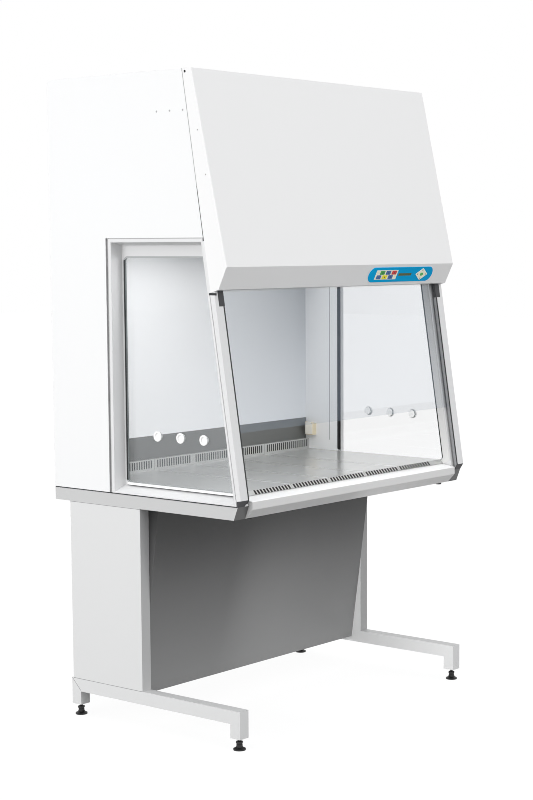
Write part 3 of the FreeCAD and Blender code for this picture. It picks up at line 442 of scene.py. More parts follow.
@dataclass(frozen=True)
class ClearPane(Finish):
    """Float glass: a faint mirror over its faces and greener at its cut edges."""

    across: Point
    tint: Colour
    veil: float
    mirror: float = 0.3
    edge_tint: Colour = paint(0.3, 0.34, 0.34)
    edge_cover: float = 0.5
    edge_facing: float = 0.6

    def build(self) -> Material:
        """Make the material.

        Returns:
            The finished material.
        """
        graph = Graph(self.name)
        normal = graph.node("NewGeometry", {}, "Normal")
        facing = graph.node("VectorMath", {0: normal, 1: self.across}, 1, operation="DOT_PRODUCT")
        edge = facing.size() < self.edge_facing
        smear = graph.noise(2.2, 3.0)
        grazing = graph.node("LayerWeight", {"Blend": 0.5}, "Facing")
        gloss = grazing.power(5.0) * 0.96 + 0.04
        cover = gloss * self.mirror + smear * 0.003 + self.veil + edge * self.edge_cover
        values = {
            "Base Color": graph.mix(edge, self.tint, self.edge_tint),
            "Roughness": smear * 0.004 + 0.02,
            "Metallic": 1.0 - edge,
            "Alpha": cover.clamped(),
        }
        return graph.surface(values)


@dataclass(frozen=True)
class Moulded(Finish):
    """Moulded plastic or rubber with a fine grain."""

    colour: Colour
    roughness: float = 0.45
    grain: float = 1200.0
    depth: float = 0.00004
    shine: float = 0.0

    def build(self) -> Material:
        """Make the material.

        Returns:
            The finished material.
        """
        graph = Graph(self.name)
        speck = graph.noise(self.grain)
        wear = graph.noise(25.0, 3.0)
        colour = graph.mix(wear * 0.35, self.colour, scaled(self.colour, 1.18, 0.01))
        rough = wear * 0.1 + (self.roughness - 0.05)
        normal = graph.bump(speck, 0.3, self.depth)
        values = {"Base Color": colour, "Roughness": rough, "Normal": normal}
        return graph.surface({**values, "Coat Weight": self.shine})


@dataclass(frozen=True)
class PaneSeal(Finish):
    """Rubber seal of a window: black up its sides, with a pale cover at its foot and head."""

    dark: Colour
    pale: Colour
    cover: float = 0.0065

    def build(self) -> Material:
        """Make the material.

        Returns:
            The finished material.
        """
        graph = Graph(self.name)
        height = graph.axes()[2]
        low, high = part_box("side_glass_right")
        sides = (height > low.z + self.cover) * (height < high.z - self.cover)
        return graph.rubber(graph.mix(sides, self.pale, self.dark))


@dataclass(frozen=True)
class LipSeal(Finish):
    """Black lip seal with a grey flocked face towards the chamber."""

    dark: Colour
    flock: Colour
    facing: float = 0.2

    def build(self) -> Material:
        """Make the material.

        Returns:
            The finished material.
        """
        graph = Graph(self.name)
        inward = graph.axes("Normal")[0] * graph.axes()[0] < -self.facing
        return graph.rubber(graph.mix(inward, self.dark, self.flock))


@dataclass(frozen=True)
class PleatedPaper(Finish):
    """Filter paper in an aluminium frame: fine folds run across the pack, each darkened by painted
    shade.
    """

    colour: Colour
    shade: Colour
    fold: float = 0.004

    def build(self) -> Material:
        """Make the material.

        Returns:
            The finished material.
        """
        graph = Graph(self.name)
        wave = (graph.axes()[0] * (FULL_TURN / self.fold)).sine()
        # Painted shade along the folds.
        colour = graph.mix((wave * 0.5 + 0.5) * 0.5, self.colour, self.shade)
        normal = graph.bump(wave, 0.4, 0.001)
        return graph.surface({"Base Color": colour, "Roughness": 0.8, "Normal": normal})


@dataclass(frozen=True)
class PrintedFilm(Finish):
    """Blue printed film of the control panel, a little lighter towards its left end."""

    left: Colour
    right: Colour
    start: float
    end: float

    def build(self) -> Material:
        """Make the material.

        Returns:
            The finished material.
        """
        graph = Graph(self.name)
        fade = graph.axes()[0].between(self.start, self.end)
        values = {
            "Base Color": graph.mix(fade, self.left, self.right),
            "Roughness": graph.noise(80.0) * 0.08 + 0.28,
            "Normal": graph.bump(graph.noise(1500.0), 0.15, 0.00003),
            "Specular IOR Level": 0.03,
        }
        return graph.surface(values)


@dataclass(frozen=True)
class DotDisplay(Finish):
    """Dark olive display with a faint raster of unlit dots."""

    dot: Colour
    ground: Colour
    pitch: float = 0.0012
    share: float = 0.25

    def build(self) -> Material:
        """Make the material.

        Returns:
            The finished material.
        """
        graph = Graph(self.name)
        x_place, _, z_place = graph.axes()
        turn = FULL_TURN / self.pitch
        dots = (x_place * turn).sine() * (z_place * turn).sine() > self.share
        colour = graph.mix(dots, self.dot, self.ground)
        return graph.surface({"Base Color": colour, "Roughness": 0.4, "Specular IOR Level": 0.1})


class Maker:
    """Turns bmesh shapes into finished pieces."""

    @staticmethod
    def piece(
        mesh: Shape, name: str, body: str, material: Material, slot: str
    ) -> bpy.types.Object:
        """Make an object of a bmesh and let it ride on a body.

        Args:
            mesh: the shape, in the frame's metres.
            name: the piece's name.
            body: the body it moves with.
            material: its finish.
            slot: the record's material slot; not used.

        Returns:
            The piece.
        """
        bmesh.ops.recalc_face_normals(mesh, faces=mesh.faces)
        made = Maker.placed(mesh, name, material)
        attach(made, body)
        log.info("%s: %d faces on %s", name, len(made.data.polygons), body)
        return made

    @staticmethod
    def placed(mesh: Shape, name: str, material: Material) -> bpy.types.Object:
        """Make an object of a bmesh and put it in the scene.

        Args:
            mesh: the shape, used up here.
            name: the object's name.
            material: its finish.

        Returns:
            The object.
        """
        data = bpy.data.meshes.new(name)
        mesh.to_mesh(data)
        mesh.free()
        data.materials.append(material)
        made = bpy.data.objects.new(name, data)
        bpy.context.scene.collection.objects.link(made)
        return made

    @staticmethod
    def block(first: Point, second: Point, edge: float = 0.0, segments: int = 2) -> Shape:
        """A block with bevelled edges.

        Args:
            first, second: any two opposite corners.
            edge: the bevel's width.
            segments: the bevel's steps.

        Returns:
            The bmesh.
        """
        low, high = Vector(map(min, first, second)), Vector(map(max, first, second))
        mesh = bmesh.new()
        bmesh.ops.create_cube(mesh, size=1.0)
        bmesh.ops.scale(mesh, vec=high - low, verts=mesh.verts)
        bmesh.ops.translate(mesh, vec=(low + high) / 2, verts=mesh.verts)
        if edge:
            Maker.bevel(mesh, list(mesh.edges), edge, segments)
        return mesh

    @staticmethod
    def both_sides(
        first: Point, second: Point, edge: float = 0.0, segments: int = 2
    ) -> list[Shape]:
        """A block on the right and its mirror image, the left one first."""
        corners = [[(side * x, y, z) for x, y, z in (first, second)] for side in SIDES]
        return [Maker.block(*pair, edge, segments) for pair in corners]

    @staticmethod
    def bevel(mesh: Shape, edges: Edges, width: float, segments: int) -> None:
        """Round some edges of a bmesh.

        Args:
            mesh: the bmesh, changed in place.
            edges: the edges to round.
            width: the bevel's width.
            segments: the bevel's steps.
        """
        bmesh.ops.bevel(
            mesh, geom=edges, offset=width, affect="EDGES", segments=segments, profile=0.5,
            material=-1, clamp_overlap=True,
        )

    @staticmethod
    def disc(radius: float, height: float, sides: int, edge: float = 0.0) -> Shape:
        """A round or many-sided block on the XY plane, from height zero up.

        Args:
            radius, height: its sizes.
            sides: how many sides stand for the round.
            edge: the bevel's width at its top.

        Returns:
            The bmesh.
        """
        mesh = bmesh.new()
        bmesh.ops.create_cone(
            mesh, cap_ends=True, segments=sides, radius1=radius, radius2=radius, depth=height,
        )
        bmesh.ops.translate(mesh, vec=(0, 0, height / 2), verts=mesh.verts)
        if edge:
            Maker.bevel(mesh, Maker.edges_above(mesh, height / 2), edge, 2)
        return mesh

    @staticmethod
    def edges_above(mesh: Shape, height: float) -> Edges:
        """Edges of a bmesh that lie wholly above a height."""
        return [part for part in mesh.edges if all(end.co.z > height for end in part.verts)]

    @staticmethod
    def spun(mesh: Shape, edges: Edges, sides: int) -> Shape:
        """A bmesh whose edges are turned once about the Z axis.

        Args:
            mesh: the bmesh, changed in place.
            edges: the profile.
            sides: how many steps go round.

        Returns:
            The same bmesh.
        """
        bmesh.ops.spin(
            mesh, geom=edges, cent=(0, 0, 0), axis=(0, 0, 1), angle=FULL_TURN, steps=sides,
            use_merge=True,
        )
        return mesh

    @staticmethod
    def ring(radius: float, tube: float, sides: int, round_sides: int) -> Shape:
        """A round wire ring about the Z axis.

        Args:
            radius: the ring's.
            tube: the wire's radius.
            sides, round_sides: how many steps go round the ring and round the wire.

        Returns:
            The bmesh.
        """
        mesh = bmesh.new()
        made = bmesh.ops.create_circle(mesh, segments=round_sides, radius=tube)
        upright = Matrix.Rotation(QUARTER_TURN, 3, "X")
        bmesh.ops.rotate(mesh, verts=made["verts"], matrix=upright)
        bmesh.ops.translate(mesh, verts=made["verts"], vec=(radius, 0, 0))
        return Maker.spun(mesh, list(mesh.edges), sides)

    @staticmethod
    def turned(profile: tuple[Pair, ...], sides: int = 40) -> Shape:
        """Turn a profile about the Z axis.

        Args:
            profile: points of radius and height.
            sides: how many steps go round.

        Returns:
            The bmesh.
        """
        mesh = bmesh.new()
        corners = [mesh.verts.new((radius, 0, height)) for radius, height in profile]
        edges = [mesh.edges.new(ends) for ends in zip(corners, corners[1:])]
        return Maker.spun(mesh, edges, sides)

    @staticmethod
    def moved(mesh: Shape, matrix: Matrix) -> Shape:
        """A bmesh moved by a matrix."""
        bmesh.ops.transform(mesh, matrix=matrix, verts=mesh.verts)
        return mesh

    @staticmethod
    def merged(meshes: list[Shape]) -> Shape:
        """Join several bmeshes.

        Args:
            meshes: the bmeshes, used up here.

        Returns:
            The bmesh of them all.
        """
        whole = bmesh.new()
        for mesh in meshes:
            data = bpy.data.meshes.new("part")
            mesh.to_mesh(data)
            mesh.free()
            whole.from_mesh(data)
            bpy.data.meshes.remove(data)
        return whole


@dataclass
class Wardrobe:
    """All finishes, each made once."""

    made: dict[str, Material] = field(default_factory=dict)

    def take(self, finish: Finish) -> Material:
        """The material of a finish.

        Args:
            finish: the finish.

        Returns:
            Its material, made at the first call.
        """
        if finish.name not in self.made:
            self.made[finish.name] = finish.build()
        return self.made[finish.name]

    def dress(self, nodes: list[str], finish: Finish) -> None:
        """Give construction nodes a finish.

        Args:
            nodes: node names.
            finish: the finish they take.
        """
        material = self.take(finish)
        for name in nodes:
            node = FRAME["nodes"][name]
            for slot in node.material_slots or ():
                slot.material = material
            if not node.material_slots:
                node.data.materials.append(material)
            log.info("%s: dressed in %s", name, finish.name)

    def add(
        self, meshes: list[Shape], name: str, finish: Finish, slot: str, body: str = CABINET
    ) -> None:
        """Make one piece of some meshes, with its finish and body."""
        Maker.piece(Maker.merged(meshes), name, body, self.take(finish), slot)


WHITE = PowderCoat("white coat", grey(0.88))
HOOD_WHITE = PowderCoat("hood coat", paint(0.88, 0.876, 0.874))
RECESS_WHITE = PowderCoat("recess coat", paint(0.76, 0.76, 0.762))
# The darker front tones of the slab and the column are painted shade.
SLAB_WHITE = PowderCoat("slab coat", paint(0.57, 0.57, 0.568), grey(0.08))
COLUMN_WHITE = PowderCoat("column coat", paint(0.72, 0.72, 0.718), grey(0.49))
# The right column's paler main tone is painted light on its shaded inner side; its darker front is
# painted shade.
RIGHT_COLUMN_WHITE = PowderCoat("right column coat", paint(0.95, 0.95, 0.948), grey(0.34))
# The armrest's lighter top is painted light.
REST_WHITE = PowderCoat("armrest coat", paint(0.74, 0.735, 0.73), None, grey(0.99))
# The beams' darker tops are painted shade; the right beam's paler main tone is painted light on
# its shaded inner side, and its darker front is painted shade.
BEAM_WHITE = PowderCoat("beam coat", paint(0.72, 0.72, 0.718), None, grey(0.64))
RIGHT_BEAM_WHITE = PowderCoat(
    "right beam coat", paint(0.93, 0.93, 0.928), grey(0.72), grey(0.46)
)
# The knee panel's near-black tone, lighter towards its foot, is painted shade under the slab.
KNEE_GREY = PowderCoat(
    "knee panel coat", grey(0.012), lit_low_colour=grey(0.27), low=0.14, high=0.74,
    gloss=Gloss(0.51, 0.00004, 0.25, 3.0),
)
# The liner's grey by the sash is painted shade.
LINER = LinerCoat("liner coat", paint(0.9, 0.905, 0.91), paint(0.42, 0.415, 0.41), 0.085)
# The back wall's pale left end and greyer upper right are painted light and shade.
BACK_WALL = BackWallCoat(
    "back wall coat", paint(0.97, 0.975, 0.98), paint(0.86, 0.88, 0.91),
    paint(0.42, 0.43, 0.44), 0.6, 1.0, 1.6,
)
STEEL = BrushedSteel("worktop steel", paint(0.54, 0.55, 0.54), Grain.ALONG_X, 0.3, 0.0, 0.03, 0.35)
BAND_STEEL = BrushedSteel(
    "splash steel", paint(0.165, 0.17, 0.165), Grain.ALONG_X, 0.45, 0.0, 0.05, 0.35
)
BARE_ALUMINIUM = BrushedSteel("satin aluminium", paint(0.76, 0.77, 0.78), roughness=0.34)
TURNED_STEEL = BrushedSteel("turned steel", paint(0.5, 0.5, 0.51), Grain.ALONG_Z, 0.3)
# Much brighter than the worktop's steel: painted highlight along the tray joints.
TRAY_EDGE_HIGHLIGHT = BrushedSteel("tray edge painted highlight", grey(0.95), roughness=0.3)
RUBBER = Moulded("seal rubber", linear(38, 39, 41), 0.6, 900.0)
BLACK_PLASTIC = Moulded("black plastic", linear(16, 16, 17))
# Grey of the joint lines, also used for the line of painted shadow on the columns under the slab.
LINE_GREY = Moulded("joint line", linear(120, 120, 122), 0.6)
# Grey of the screw heads, also used as painted shade in the joints round the window surrounds and
# up the hood.
SCREW_AND_JOINT_SHADE_GREY = Moulded("screw grey and painted joint shade", linear(172, 172, 172), 0.7)
# Dark painted shade in the hood's joint.
SEAM_SHADE_GREY = Moulded("seam painted shade", linear(84, 85, 87), 0.7)
# Pale painted light over the shadow of the hood's joint near its tip.
PALE_JOINT_LIGHT = Moulded("pale painted joint light", linear(226, 226, 226), 0.7)
# Near-black painted shade seen through the worktop's slots.
SHADE = Moulded("slot shade", linear(20, 20, 20), 0.95)
GREY_PLASTIC = Moulded("end piece plastic", linear(58, 58, 61), 0.6)
WHITE_PLASTIC = Moulded("white plastic", linear(252, 252, 251), 0.35, 1000.0, 0.00002, 0.2)
CREAM_PLASTIC = Moulded("cream plastic", linear(226, 214, 186), 0.4)
PALE_CREAM = Moulded("pale cream plastic", linear(246, 241, 230), 0.4)
KEYPAD_CREAM = Moulded("keypad film", linear(255, 252, 226), 0.5, 1500.0, 0.00002)
SELECT_GREEN = Moulded("select key", linear(66, 176, 84))
KEY_INK = Moulded("key ink", linear(34, 44, 58), 0.4)
PANE_SEAL = PaneSeal("pane seal", linear(38, 39, 41), linear(176, 178, 178))
LIP_SEAL = LipSeal("lip seal", linear(38, 39, 41), linear(150, 151, 153))
PAPER = PleatedPaper("filter paper", paint(0.85, 0.85, 0.82), paint(0.45, 0.45, 0.43))
PANEL_FILM = PrintedFilm("panel film", linear(0, 176, 236), linear(0, 168, 228), 0.14, 0.52)
DISPLAY = DotDisplay("display", linear(98, 108, 66), linear(70, 80, 48))
SIDE_PANE = ClearPane("side pane", (1.0, 0.0, 0.0), paint(0.9, 0.93, 0.98), 0.06)
FRONT_PANE = ClearPane(
    "front pane", (0.0, math.cos(LEAN), -math.sin(LEAN)), paint(0.3, 0.36, 0.44), 0.1
)

KEYS = {
    "key_fan": (linear(52, 158, 62), KeyMark.RING),
    "key_light": (linear(40, 92, 158), KeyMark.DOT),
    "key_alarm": (linear(206, 18, 26), KeyMark.SQUARE),
    "key_socket": (linear(40, 92, 158), KeyMark.BAR),
    "key_timer": (linear(250, 234, 20), KeyMark.DOT),
    "key_standby": (linear(40, 92, 158), KeyMark.RING),
}


def pair(stem: str) -> list[str]:
    """The right and the left node of a pair."""
    return [stem + "_right", stem + "_left"]


FEET = [*pair("levelling_foot_front"), *pair("levelling_foot_rear")]


class Front:
    """Leaning plane of the sash, in which X, depth and run are counted from its foot."""

    RISE = 0.022

    @classmethod
    def foot(cls) -> Vector:
        """Foot of the plane, at the front of the sash guides."""
        low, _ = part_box("sash_guide_right")
        return Vector((0.0, low.y, low.z + cls.RISE))

    @classmethod
    def leaned(cls, mesh: Shape) -> Shape:
        """Move a mesh from the leaning plane's frame to the cabinet's."""
        turn = Matrix.Rotation(-LEAN, 4, "X")
        return Maker.moved(mesh, Matrix.Translation(cls.foot()) @ turn)


class Deck:
    """Places of the worktop trays that their box doesn't tell."""

    SHEET = 0.0015
    SET_FORWARD = 0.017
    LIP_RUN = 0.013
    LIP_DROP = 0.014

    @classmethod
    def level(cls) -> float:
        """Height of the worktop, one sheet above the rim of the pan that it lies on."""
        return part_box("drip_pan")[1].z + cls.SHEET

    @classmethod
    def upstand(cls) -> float:
        """Depth of the rear upstand's face, set forward from the back wall."""
        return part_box("chamber_back")[0].y - cls.SET_FORWARD

    @classmethod
    def lip(cls) -> Vector:
        """Middle of the slotted front lip, which falls from the worktop to the trays' front."""
        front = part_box("worktop_trays")[0].y
        return Vector((0.0, front + cls.LIP_RUN / 2, cls.level() - cls.LIP_DROP / 2))

    @classmethod
    def on_lip(cls, mesh: Shape, x_place: float, rise: float) -> Shape:
        """Lay a mesh on the front lip.

        Args:
            mesh: the shape, flat about its origin.
            x_place: its place along X.
            rise: how far it stands out from the lip's face.

        Returns:
            The mesh, moved.
        """
        angle = math.atan2(cls.LIP_DROP, cls.LIP_RUN)
        turn = Matrix.Rotation(angle, 4, "X")
        place = cls.lip() + turn @ Vector((x_place, 0.0, rise))
        return Maker.moved(mesh, Matrix.Translation(place) @ turn)


@dataclass(frozen=True)
class Seam:
    """A strip up the leaning joint between the hood and the side panels; its colour is painted
    shade where grey and painted light where pale.
    """

    name: str
    finish: Finish
    start: float
    end: float
    width: float
    lead: float = 0.0


@dataclass
class Assembly:
    """A sub-assembly: it dresses its own nodes and makes its own fine pieces."""

    OUTFITS: ClassVar[tuple[tuple[Finish, list[str]], ...]] = ()
    wardrobe: Wardrobe

    def build(self) -> None:
        """Dress the nodes and make the pieces."""
        for finish, nodes in self.OUTFITS:
            self.wardrobe.dress(nodes, finish)
        self.make()

    def make(self) -> None:
        """Make the pieces, where the sub-assembly has any."""


@dataclass
class Housing(Assembly):
    """Outer sheets: sides, back, top, hood, slab and armrest, with screws, seams and seals.

    Dots are placed by how far they lie before and below a side panel's rear upper corner.
    """

    OUTFITS = (
        (WHITE, [*pair("side_panel"), "back_panel", "top_panel"]),
        (RECESS_WHITE, pair("window_surround")),
        (HOOD_WHITE, ["front_hood"]),
        (SLAB_WHITE, ["base_slab"]),
        (REST_WHITE, ["armrest"]),
        (BLACK_PLASTIC, ["armrest_latches", "power_inlet"]),
        (BARE_ALUMINIUM, ["exhaust_grille"]),
    )
    screw_radius: float = 0.0032
    first_screw: Pair = (0.519, 0.132)
    screw_pitch: float = 0.058
    screw_count: int = 3
    flange_screw_radius: float = 0.00256
    flange_screws: tuple[Pair, ...] = ((0.699, 0.198), (0.732, 0.341))
    plug_radius: float = 0.0042
    plug: Pair = (0.646, 0.0105)
    dot_height: float = 0.0008
    dot_edge: float = 0.0002
    dot_sides: int = 20
    seam_depth: float = 0.0162
    seam_sink: float = 0.004
    seam_inset: float = 0.0001
    # Strips up the hood's joint: the dark and the mid grey ones are painted shade, the pale one
    # near the tip is painted light.
    seams: tuple[Seam, ...] = (
        Seam("hood_seams", SEAM_SHADE_GREY, 0.848, 1.026, 0.0038),
        Seam("hood_joint_shades", SCREW_AND_JOINT_SHADE_GREY, 1.026, 1.4, 0.003),
        Seam("hood_tip_joint_lights", PALE_JOINT_LIGHT, 0.68, 0.848, 0.006, 0.003),
    )
    # Sizes of the grey strips of painted shade in the joints round the window surrounds.
    joint_shade_sink: float = 0.0035
    joint_shade_inset: float = 0.0003
    joint_shade_reach: float = 0.438
    joint_shade_width: float = 0.004
    joint_shade_lap: float = 0.002
    tip_front: float = 0.0545
    tip_rear: float = 0.077
    tip_extra: float = 0.0085
    tip_sink: float = 0.003
    tip_swell: float = 0.0003
    tip_height: float = 0.008
    tip_gap: float = 0.0006
    tip_edge: float = 0.0004
    line_front: float = 0.003
    line_rear: float = 0.001
    line_sink: float = 0.002
    line_swell: float = 0.0006
    line_drop: float = 0.0004
    line_rise: float = 0.0026

    def dots(self) -> None:
        """Small screw heads and plugs on the side panels and on the hood's flanges."""
        _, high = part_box("side_panel_right")
        before, below = self.first_screw
        screws = [
            (self.screw_radius, before + index * self.screw_pitch, below)
            for index in range(self.screw_count)
        ]
        screws += [(self.flange_screw_radius, *place) for place in self.flange_screws]
        for name, slot, finish, group in (
            ("panel_screws", "plain_steel", SCREW_AND_JOINT_SHADE_GREY, screws),
            ("hood_plugs", "black_plastic", BLACK_PLASTIC, [(self.plug_radius, *self.plug)]),
        ):
            meshes = []
            for side in SIDES:
                turn = Matrix.Rotation(side * QUARTER_TURN, 4, "Y")
                for radius, before, below in group:
                    place = Matrix.Translation((side * high.x, high.y - before, high.z - below))
                    dot = Maker.disc(radius, self.dot_height, self.dot_sides, self.dot_edge)
                    meshes.append(Maker.moved(dot, place @ turn))
            self.wardrobe.add(meshes, name, finish, slot)

    def hood_seams(self) -> None:
        """Strips in the joint between the hood's flanges and the side panels: painted shade where
        grey, painted light where pale.
        """
        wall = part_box("side_panel_right")[1].x
        for seam in self.seams:
            first = (wall - self.seam_sink, self.seam_depth - seam.lead, seam.start)
            second = (wall - self.seam_inset, self.seam_depth + seam.width, seam.end)
            meshes = [Front.leaned(block) for block in Maker.both_sides(first, second)]
            self.wardrobe.add(meshes, seam.name, seam.finish, "seal_rubber")

    def frame_joint_shades(self) -> None:
        """Pale grey strips of painted shade in the joint round each window surround, along its
        head and its rear.
        """
        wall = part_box("side_panel_right")[1].x
        low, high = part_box("window_surround_right")
        rear, head = high.y + self.joint_shade_width, high.z + self.joint_shade_width
        meshes = []
        for start, end in (
            ((high.y - self.joint_shade_reach, high.z - self.joint_shade_lap), (high.y, head)),
            ((high.y - self.joint_shade_lap, low.z + self.joint_shade_width), (rear, head)),
        ):
            first = (wall - self.joint_shade_sink, *start)
            meshes += Maker.both_sides(first, (wall - self.joint_shade_inset, *end))
        self.wardrobe.add(meshes, "frame_joint_shades", SCREW_AND_JOINT_SHADE_GREY, "seal_rubber")

    def tip_seals(self) -> None:
        """Black strips under the hood's lower corners, across the side of each guide."""
        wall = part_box("side_panel_right")[1].x
        hood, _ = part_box("front_hood")
        meshes = []
        for side in SIDES:
            front = hood.y + self.tip_front - (self.tip_extra if side == LEFT else 0.0)
            first = (side * (wall - self.tip_sink), front, hood.z - self.tip_height)
            rear = hood.y + self.tip_rear
            second = (side * (wall + self.tip_swell), rear, hood.z - self.tip_gap)
            meshes.append(Maker.block(first, second, self.tip_edge, 1))
        self.wardrobe.add(meshes, "hood_tip_seals", RUBBER, "seal_rubber")

    def slab_seam(self) -> None:
        """Dark joint line between the base slab and what stands on it."""
        low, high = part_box("base_slab")
        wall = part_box("side_panel_right")[1].x
        first = (wall - self.line_sink, low.y + self.line_front, high.z - self.line_drop)
        second = (wall + self.line_swell, high.y - self.line_rear, high.z + self.line_rise)
        meshes = Maker.both_sides(first, second)
        self.wardrobe.add(meshes, "slab_seam", RUBBER, "seal_rubber")

    def make(self) -> None:
        """Make the pieces."""
        self.dots()
        self.hood_seams()
        self.frame_joint_shades()
        self.tip_seals()
        self.slab_seam()


@dataclass
class WorkChamber(Assembly):
    """Inside of the cabinet: liner, panes, ports, trays, splash strip and socket."""

    OUTFITS = (
        (LINER, [*pair("chamber_side"), "diffuser_screen", "plenum_box"]),
        (BACK_WALL, ["chamber_back"]),
        (STEEL, ["worktop_trays", "drip_pan"]),
        (BAND_STEEL, ["back_splash"]),
        (SIDE_PANE, pair("side_glass")),
        (PANE_SEAL, ["glass_gaskets"]),
        (WHITE_PLASTIC, ["port_plugs", "lamp_tube"]),
        (CREAM_PLASTIC, ["socket_box"]),
        (PALE_CREAM, ["socket_lid"]),
        (PAPER, ["supply_filter", "exhaust_filter"]),
    )
    seam_setback: float = 0.013
    seam_width: float = 0.002
    seam_height: float = 0.0004
    # Sizes of the dark sheets of painted shade behind and under the slots.
    shade_inset: float = 0.0005
    shade_from: float = 0.0003
    shade_to: float = 0.0009
    shade_foot: float = 0.003
    shade_head: float = 0.0018
    lip_shade_end: float = 0.0792
    lip_shade_half: float = 0.0085
    lip_shade_depth: float = 0.0006
    slot_width: float = 0.0065
    slot_slack: float = 0.00065
    # Sizes of the dark plates of painted shade over the front slots.
    shadow_plate_width: float = 0.0092
    shadow_plate_length: float = 0.0172
    shadow_plate_rise: float = 0.00012
    tray_count: int = 5
    tray_pitch: float = 0.205
    edge_width: float = 0.0024
    edge_gap: float = 0.0008
    edge_rise: float = 0.0002
    edge_front: float = 0.008
    edge_rear: float = 0.001
    bar_width: float = 0.01
    bar_depth: float = 0.0016
    bar_inset: float = 0.0015
    bar_hidden: float = 0.009
    bar_foot: float = 0.004
    bar_edge: float = 0.0005
    bead_height: float = 0.0102
    bead_depth: float = 0.0045
    bead_shadow_height: float = 0.0016
    bead_drop: float = 0.0108
    bead_front: float = 0.004
    bead_gap: float = 0.001
    bead_edge: float = 0.0004

    def wall_seams(self) -> None:
        """Sealed joint line on each side wall of the liner."""
        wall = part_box("chamber_side_right")[0].x
        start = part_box("window_surround_right")[1].y + self.seam_setback
        first = (wall, start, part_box("worktop_trays")[1].z)
        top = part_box("diffuser_screen")[0].z
        second = (wall - self.seam_height, start + self.seam_width, top)
        meshes = Maker.both_sides(first, second)
        self.wardrobe.add(meshes, "liner_seams", LINE_GREY, "seal_rubber")

    def slot_shades(self) -> None:
        """Dark sheets of painted shade behind the slots of the upstand and under those of the
        front lip.
        """
        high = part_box("worktop_trays")[1]
        face = Deck.upstand()
        reach = high.x - self.shade_inset
        rear = Maker.block(
            (-reach, face + self.shade_from, Deck.level() + self.shade_foot),
            (reach, face + self.shade_to, high.z - self.shade_head),
        )
        half = Vector((high.x - self.lip_shade_end, self.lip_shade_half, self.lip_shade_depth / 2))
        front = Deck.on_lip(Maker.block(-half, half), 0.0, -self.lip_shade_depth)
        self.wardrobe.add([rear, front], "slot_shades", SHADE, "seal_rubber")

    def slot_middles(self) -> list[float]:
        """Middles of the front slots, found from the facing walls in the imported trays.

        Returns:
            The places along X, in metres.
        """
        node = FRAME["nodes"]["worktop_trays"]
        turn = node.matrix_world.to_3x3()
        lip = Deck.lip()
        walls = {LEFT: set(), RIGHT: set()}
        for face in node.data.polygons:
            middle = node.matrix_world @ face.center
            across = (turn @ face.normal).x
            apart = (middle - lip).yz.length
            if abs(across) > 0.99 and apart < self.shadow_plate_length / 2:
                walls[RIGHT if across > 0 else LEFT].add(round(middle.x, 4))
        return sorted(
            (start + end) / 2 for start in walls[RIGHT] for end in walls[LEFT]
            if abs(end - start - self.slot_width) < self.slot_slack
        )

    def slot_shadow_plates(self) -> None:
        """Dark plates of painted shade laid over the slots of the front lip, a little wider than
        the slots.
        """
        half = Vector((self.shadow_plate_width / 2, self.shadow_plate_length / 2, self.shadow_plate_rise))
        meshes = [
            Deck.on_lip(Maker.block(-half, half), middle, self.shadow_plate_rise)
            for middle in self.slot_middles()
        ]
        self.wardrobe.add(meshes, "slot_shadow_plates", SHADE, "seal_rubber")

    def tray_edge_highlights(self) -> None:
        """Bright strips along the joints of the worktop trays, brighter than the trays' steel: a
        painted highlight on the turned edges.
        """
        level = Deck.level()
        front, rear = Deck.lip().y + self.edge_front, Deck.upstand() - self.edge_rear
        meshes = []
        for index in range(self.tray_count - 1):
            joint = (index - (self.tray_count - 2) / 2) * self.tray_pitch
            for start in (joint - self.edge_gap - self.edge_width, joint + self.edge_gap):
                first = (start, front, level - self.edge_rise)
                second = (start + self.edge_width, rear, level + self.edge_rise)
                meshes.append(Maker.block(first, second))
        self.wardrobe.add(meshes, "tray_edge_highlights", TRAY_EDGE_HIGHLIGHT, "stainless")

    def window_bars(self) -> None:
        """Black bar up the rear edge of each side window, on the liner; the left one is hidden."""
        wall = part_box("chamber_side_right")[0].x
        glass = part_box("side_glass_right")[1]
        hidden = glass.y + self.bar_hidden
        shown = glass.y - self.bar_inset - self.bar_width
        meshes = []
        for side, start in ((LEFT, hidden), (RIGHT, shown)):
            first = (side * wall, start, Deck.level() + self.bar_foot)
            second = (side * (wall - self.bar_depth), start + self.bar_width, glass.z)
            meshes.append(Maker.block(first, second, self.bar_edge, 1))
        self.wardrobe.add(meshes, "window_bars", BLACK_PLASTIC, "seal_rubber")

    def pane_beads(self) -> None:
        """White bead under each side pane, with a dark line of painted shadow at its foot, where
        it meets the sill.
        """
        low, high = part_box("side_glass_right")
        foot = low.z - self.bead_drop
        for name, start, end, finish, slot in (
            ("pane_beads", self.bead_shadow_height, self.bead_height, WHITE, "painted_sheet"),
            # Dark line of painted shadow in the crease under the bead.
            ("pane_bead_shadow_lines", 0.0, self.bead_shadow_height, RUBBER, "seal_rubber"),
        ):
            first = (high.x + self.bead_gap, low.y + self.bead_front, foot + start)
            second = (high.x + self.bead_depth, high.y, foot + end)
            meshes = Maker.both_sides(first, second, self.bead_edge, 1)
            self.wardrobe.add(meshes, name, finish, slot)

    def make(self) -> None:
        """Make the pieces."""
        self.wall_seams()
        self.slot_shades()
        self.slot_shadow_plates()
        self.tray_edge_highlights()
        self.window_bars()
        self.pane_beads()


@dataclass
class Machinery(Assembly):
    """Sliding sash with its guides, seals and lift, and the blower."""

    OUTFITS = (
        (RECESS_WHITE, pair("sash_guide")),
        (GREY_PLASTIC, ["guide_end_pieces"]),
        (LIP_SEAL, ["guide_seals"]),
        (RUBBER, ["lift_belts"]),
        (FRONT_PANE, ["sash_glass"]),
        (BARE_ALUMINIUM, ["sash_hanger", "blower_impeller"]),
        (TURNED_STEEL, ["lift_shaft", "idler_shaft", "lift_motor", "blower_motor"]),
    )


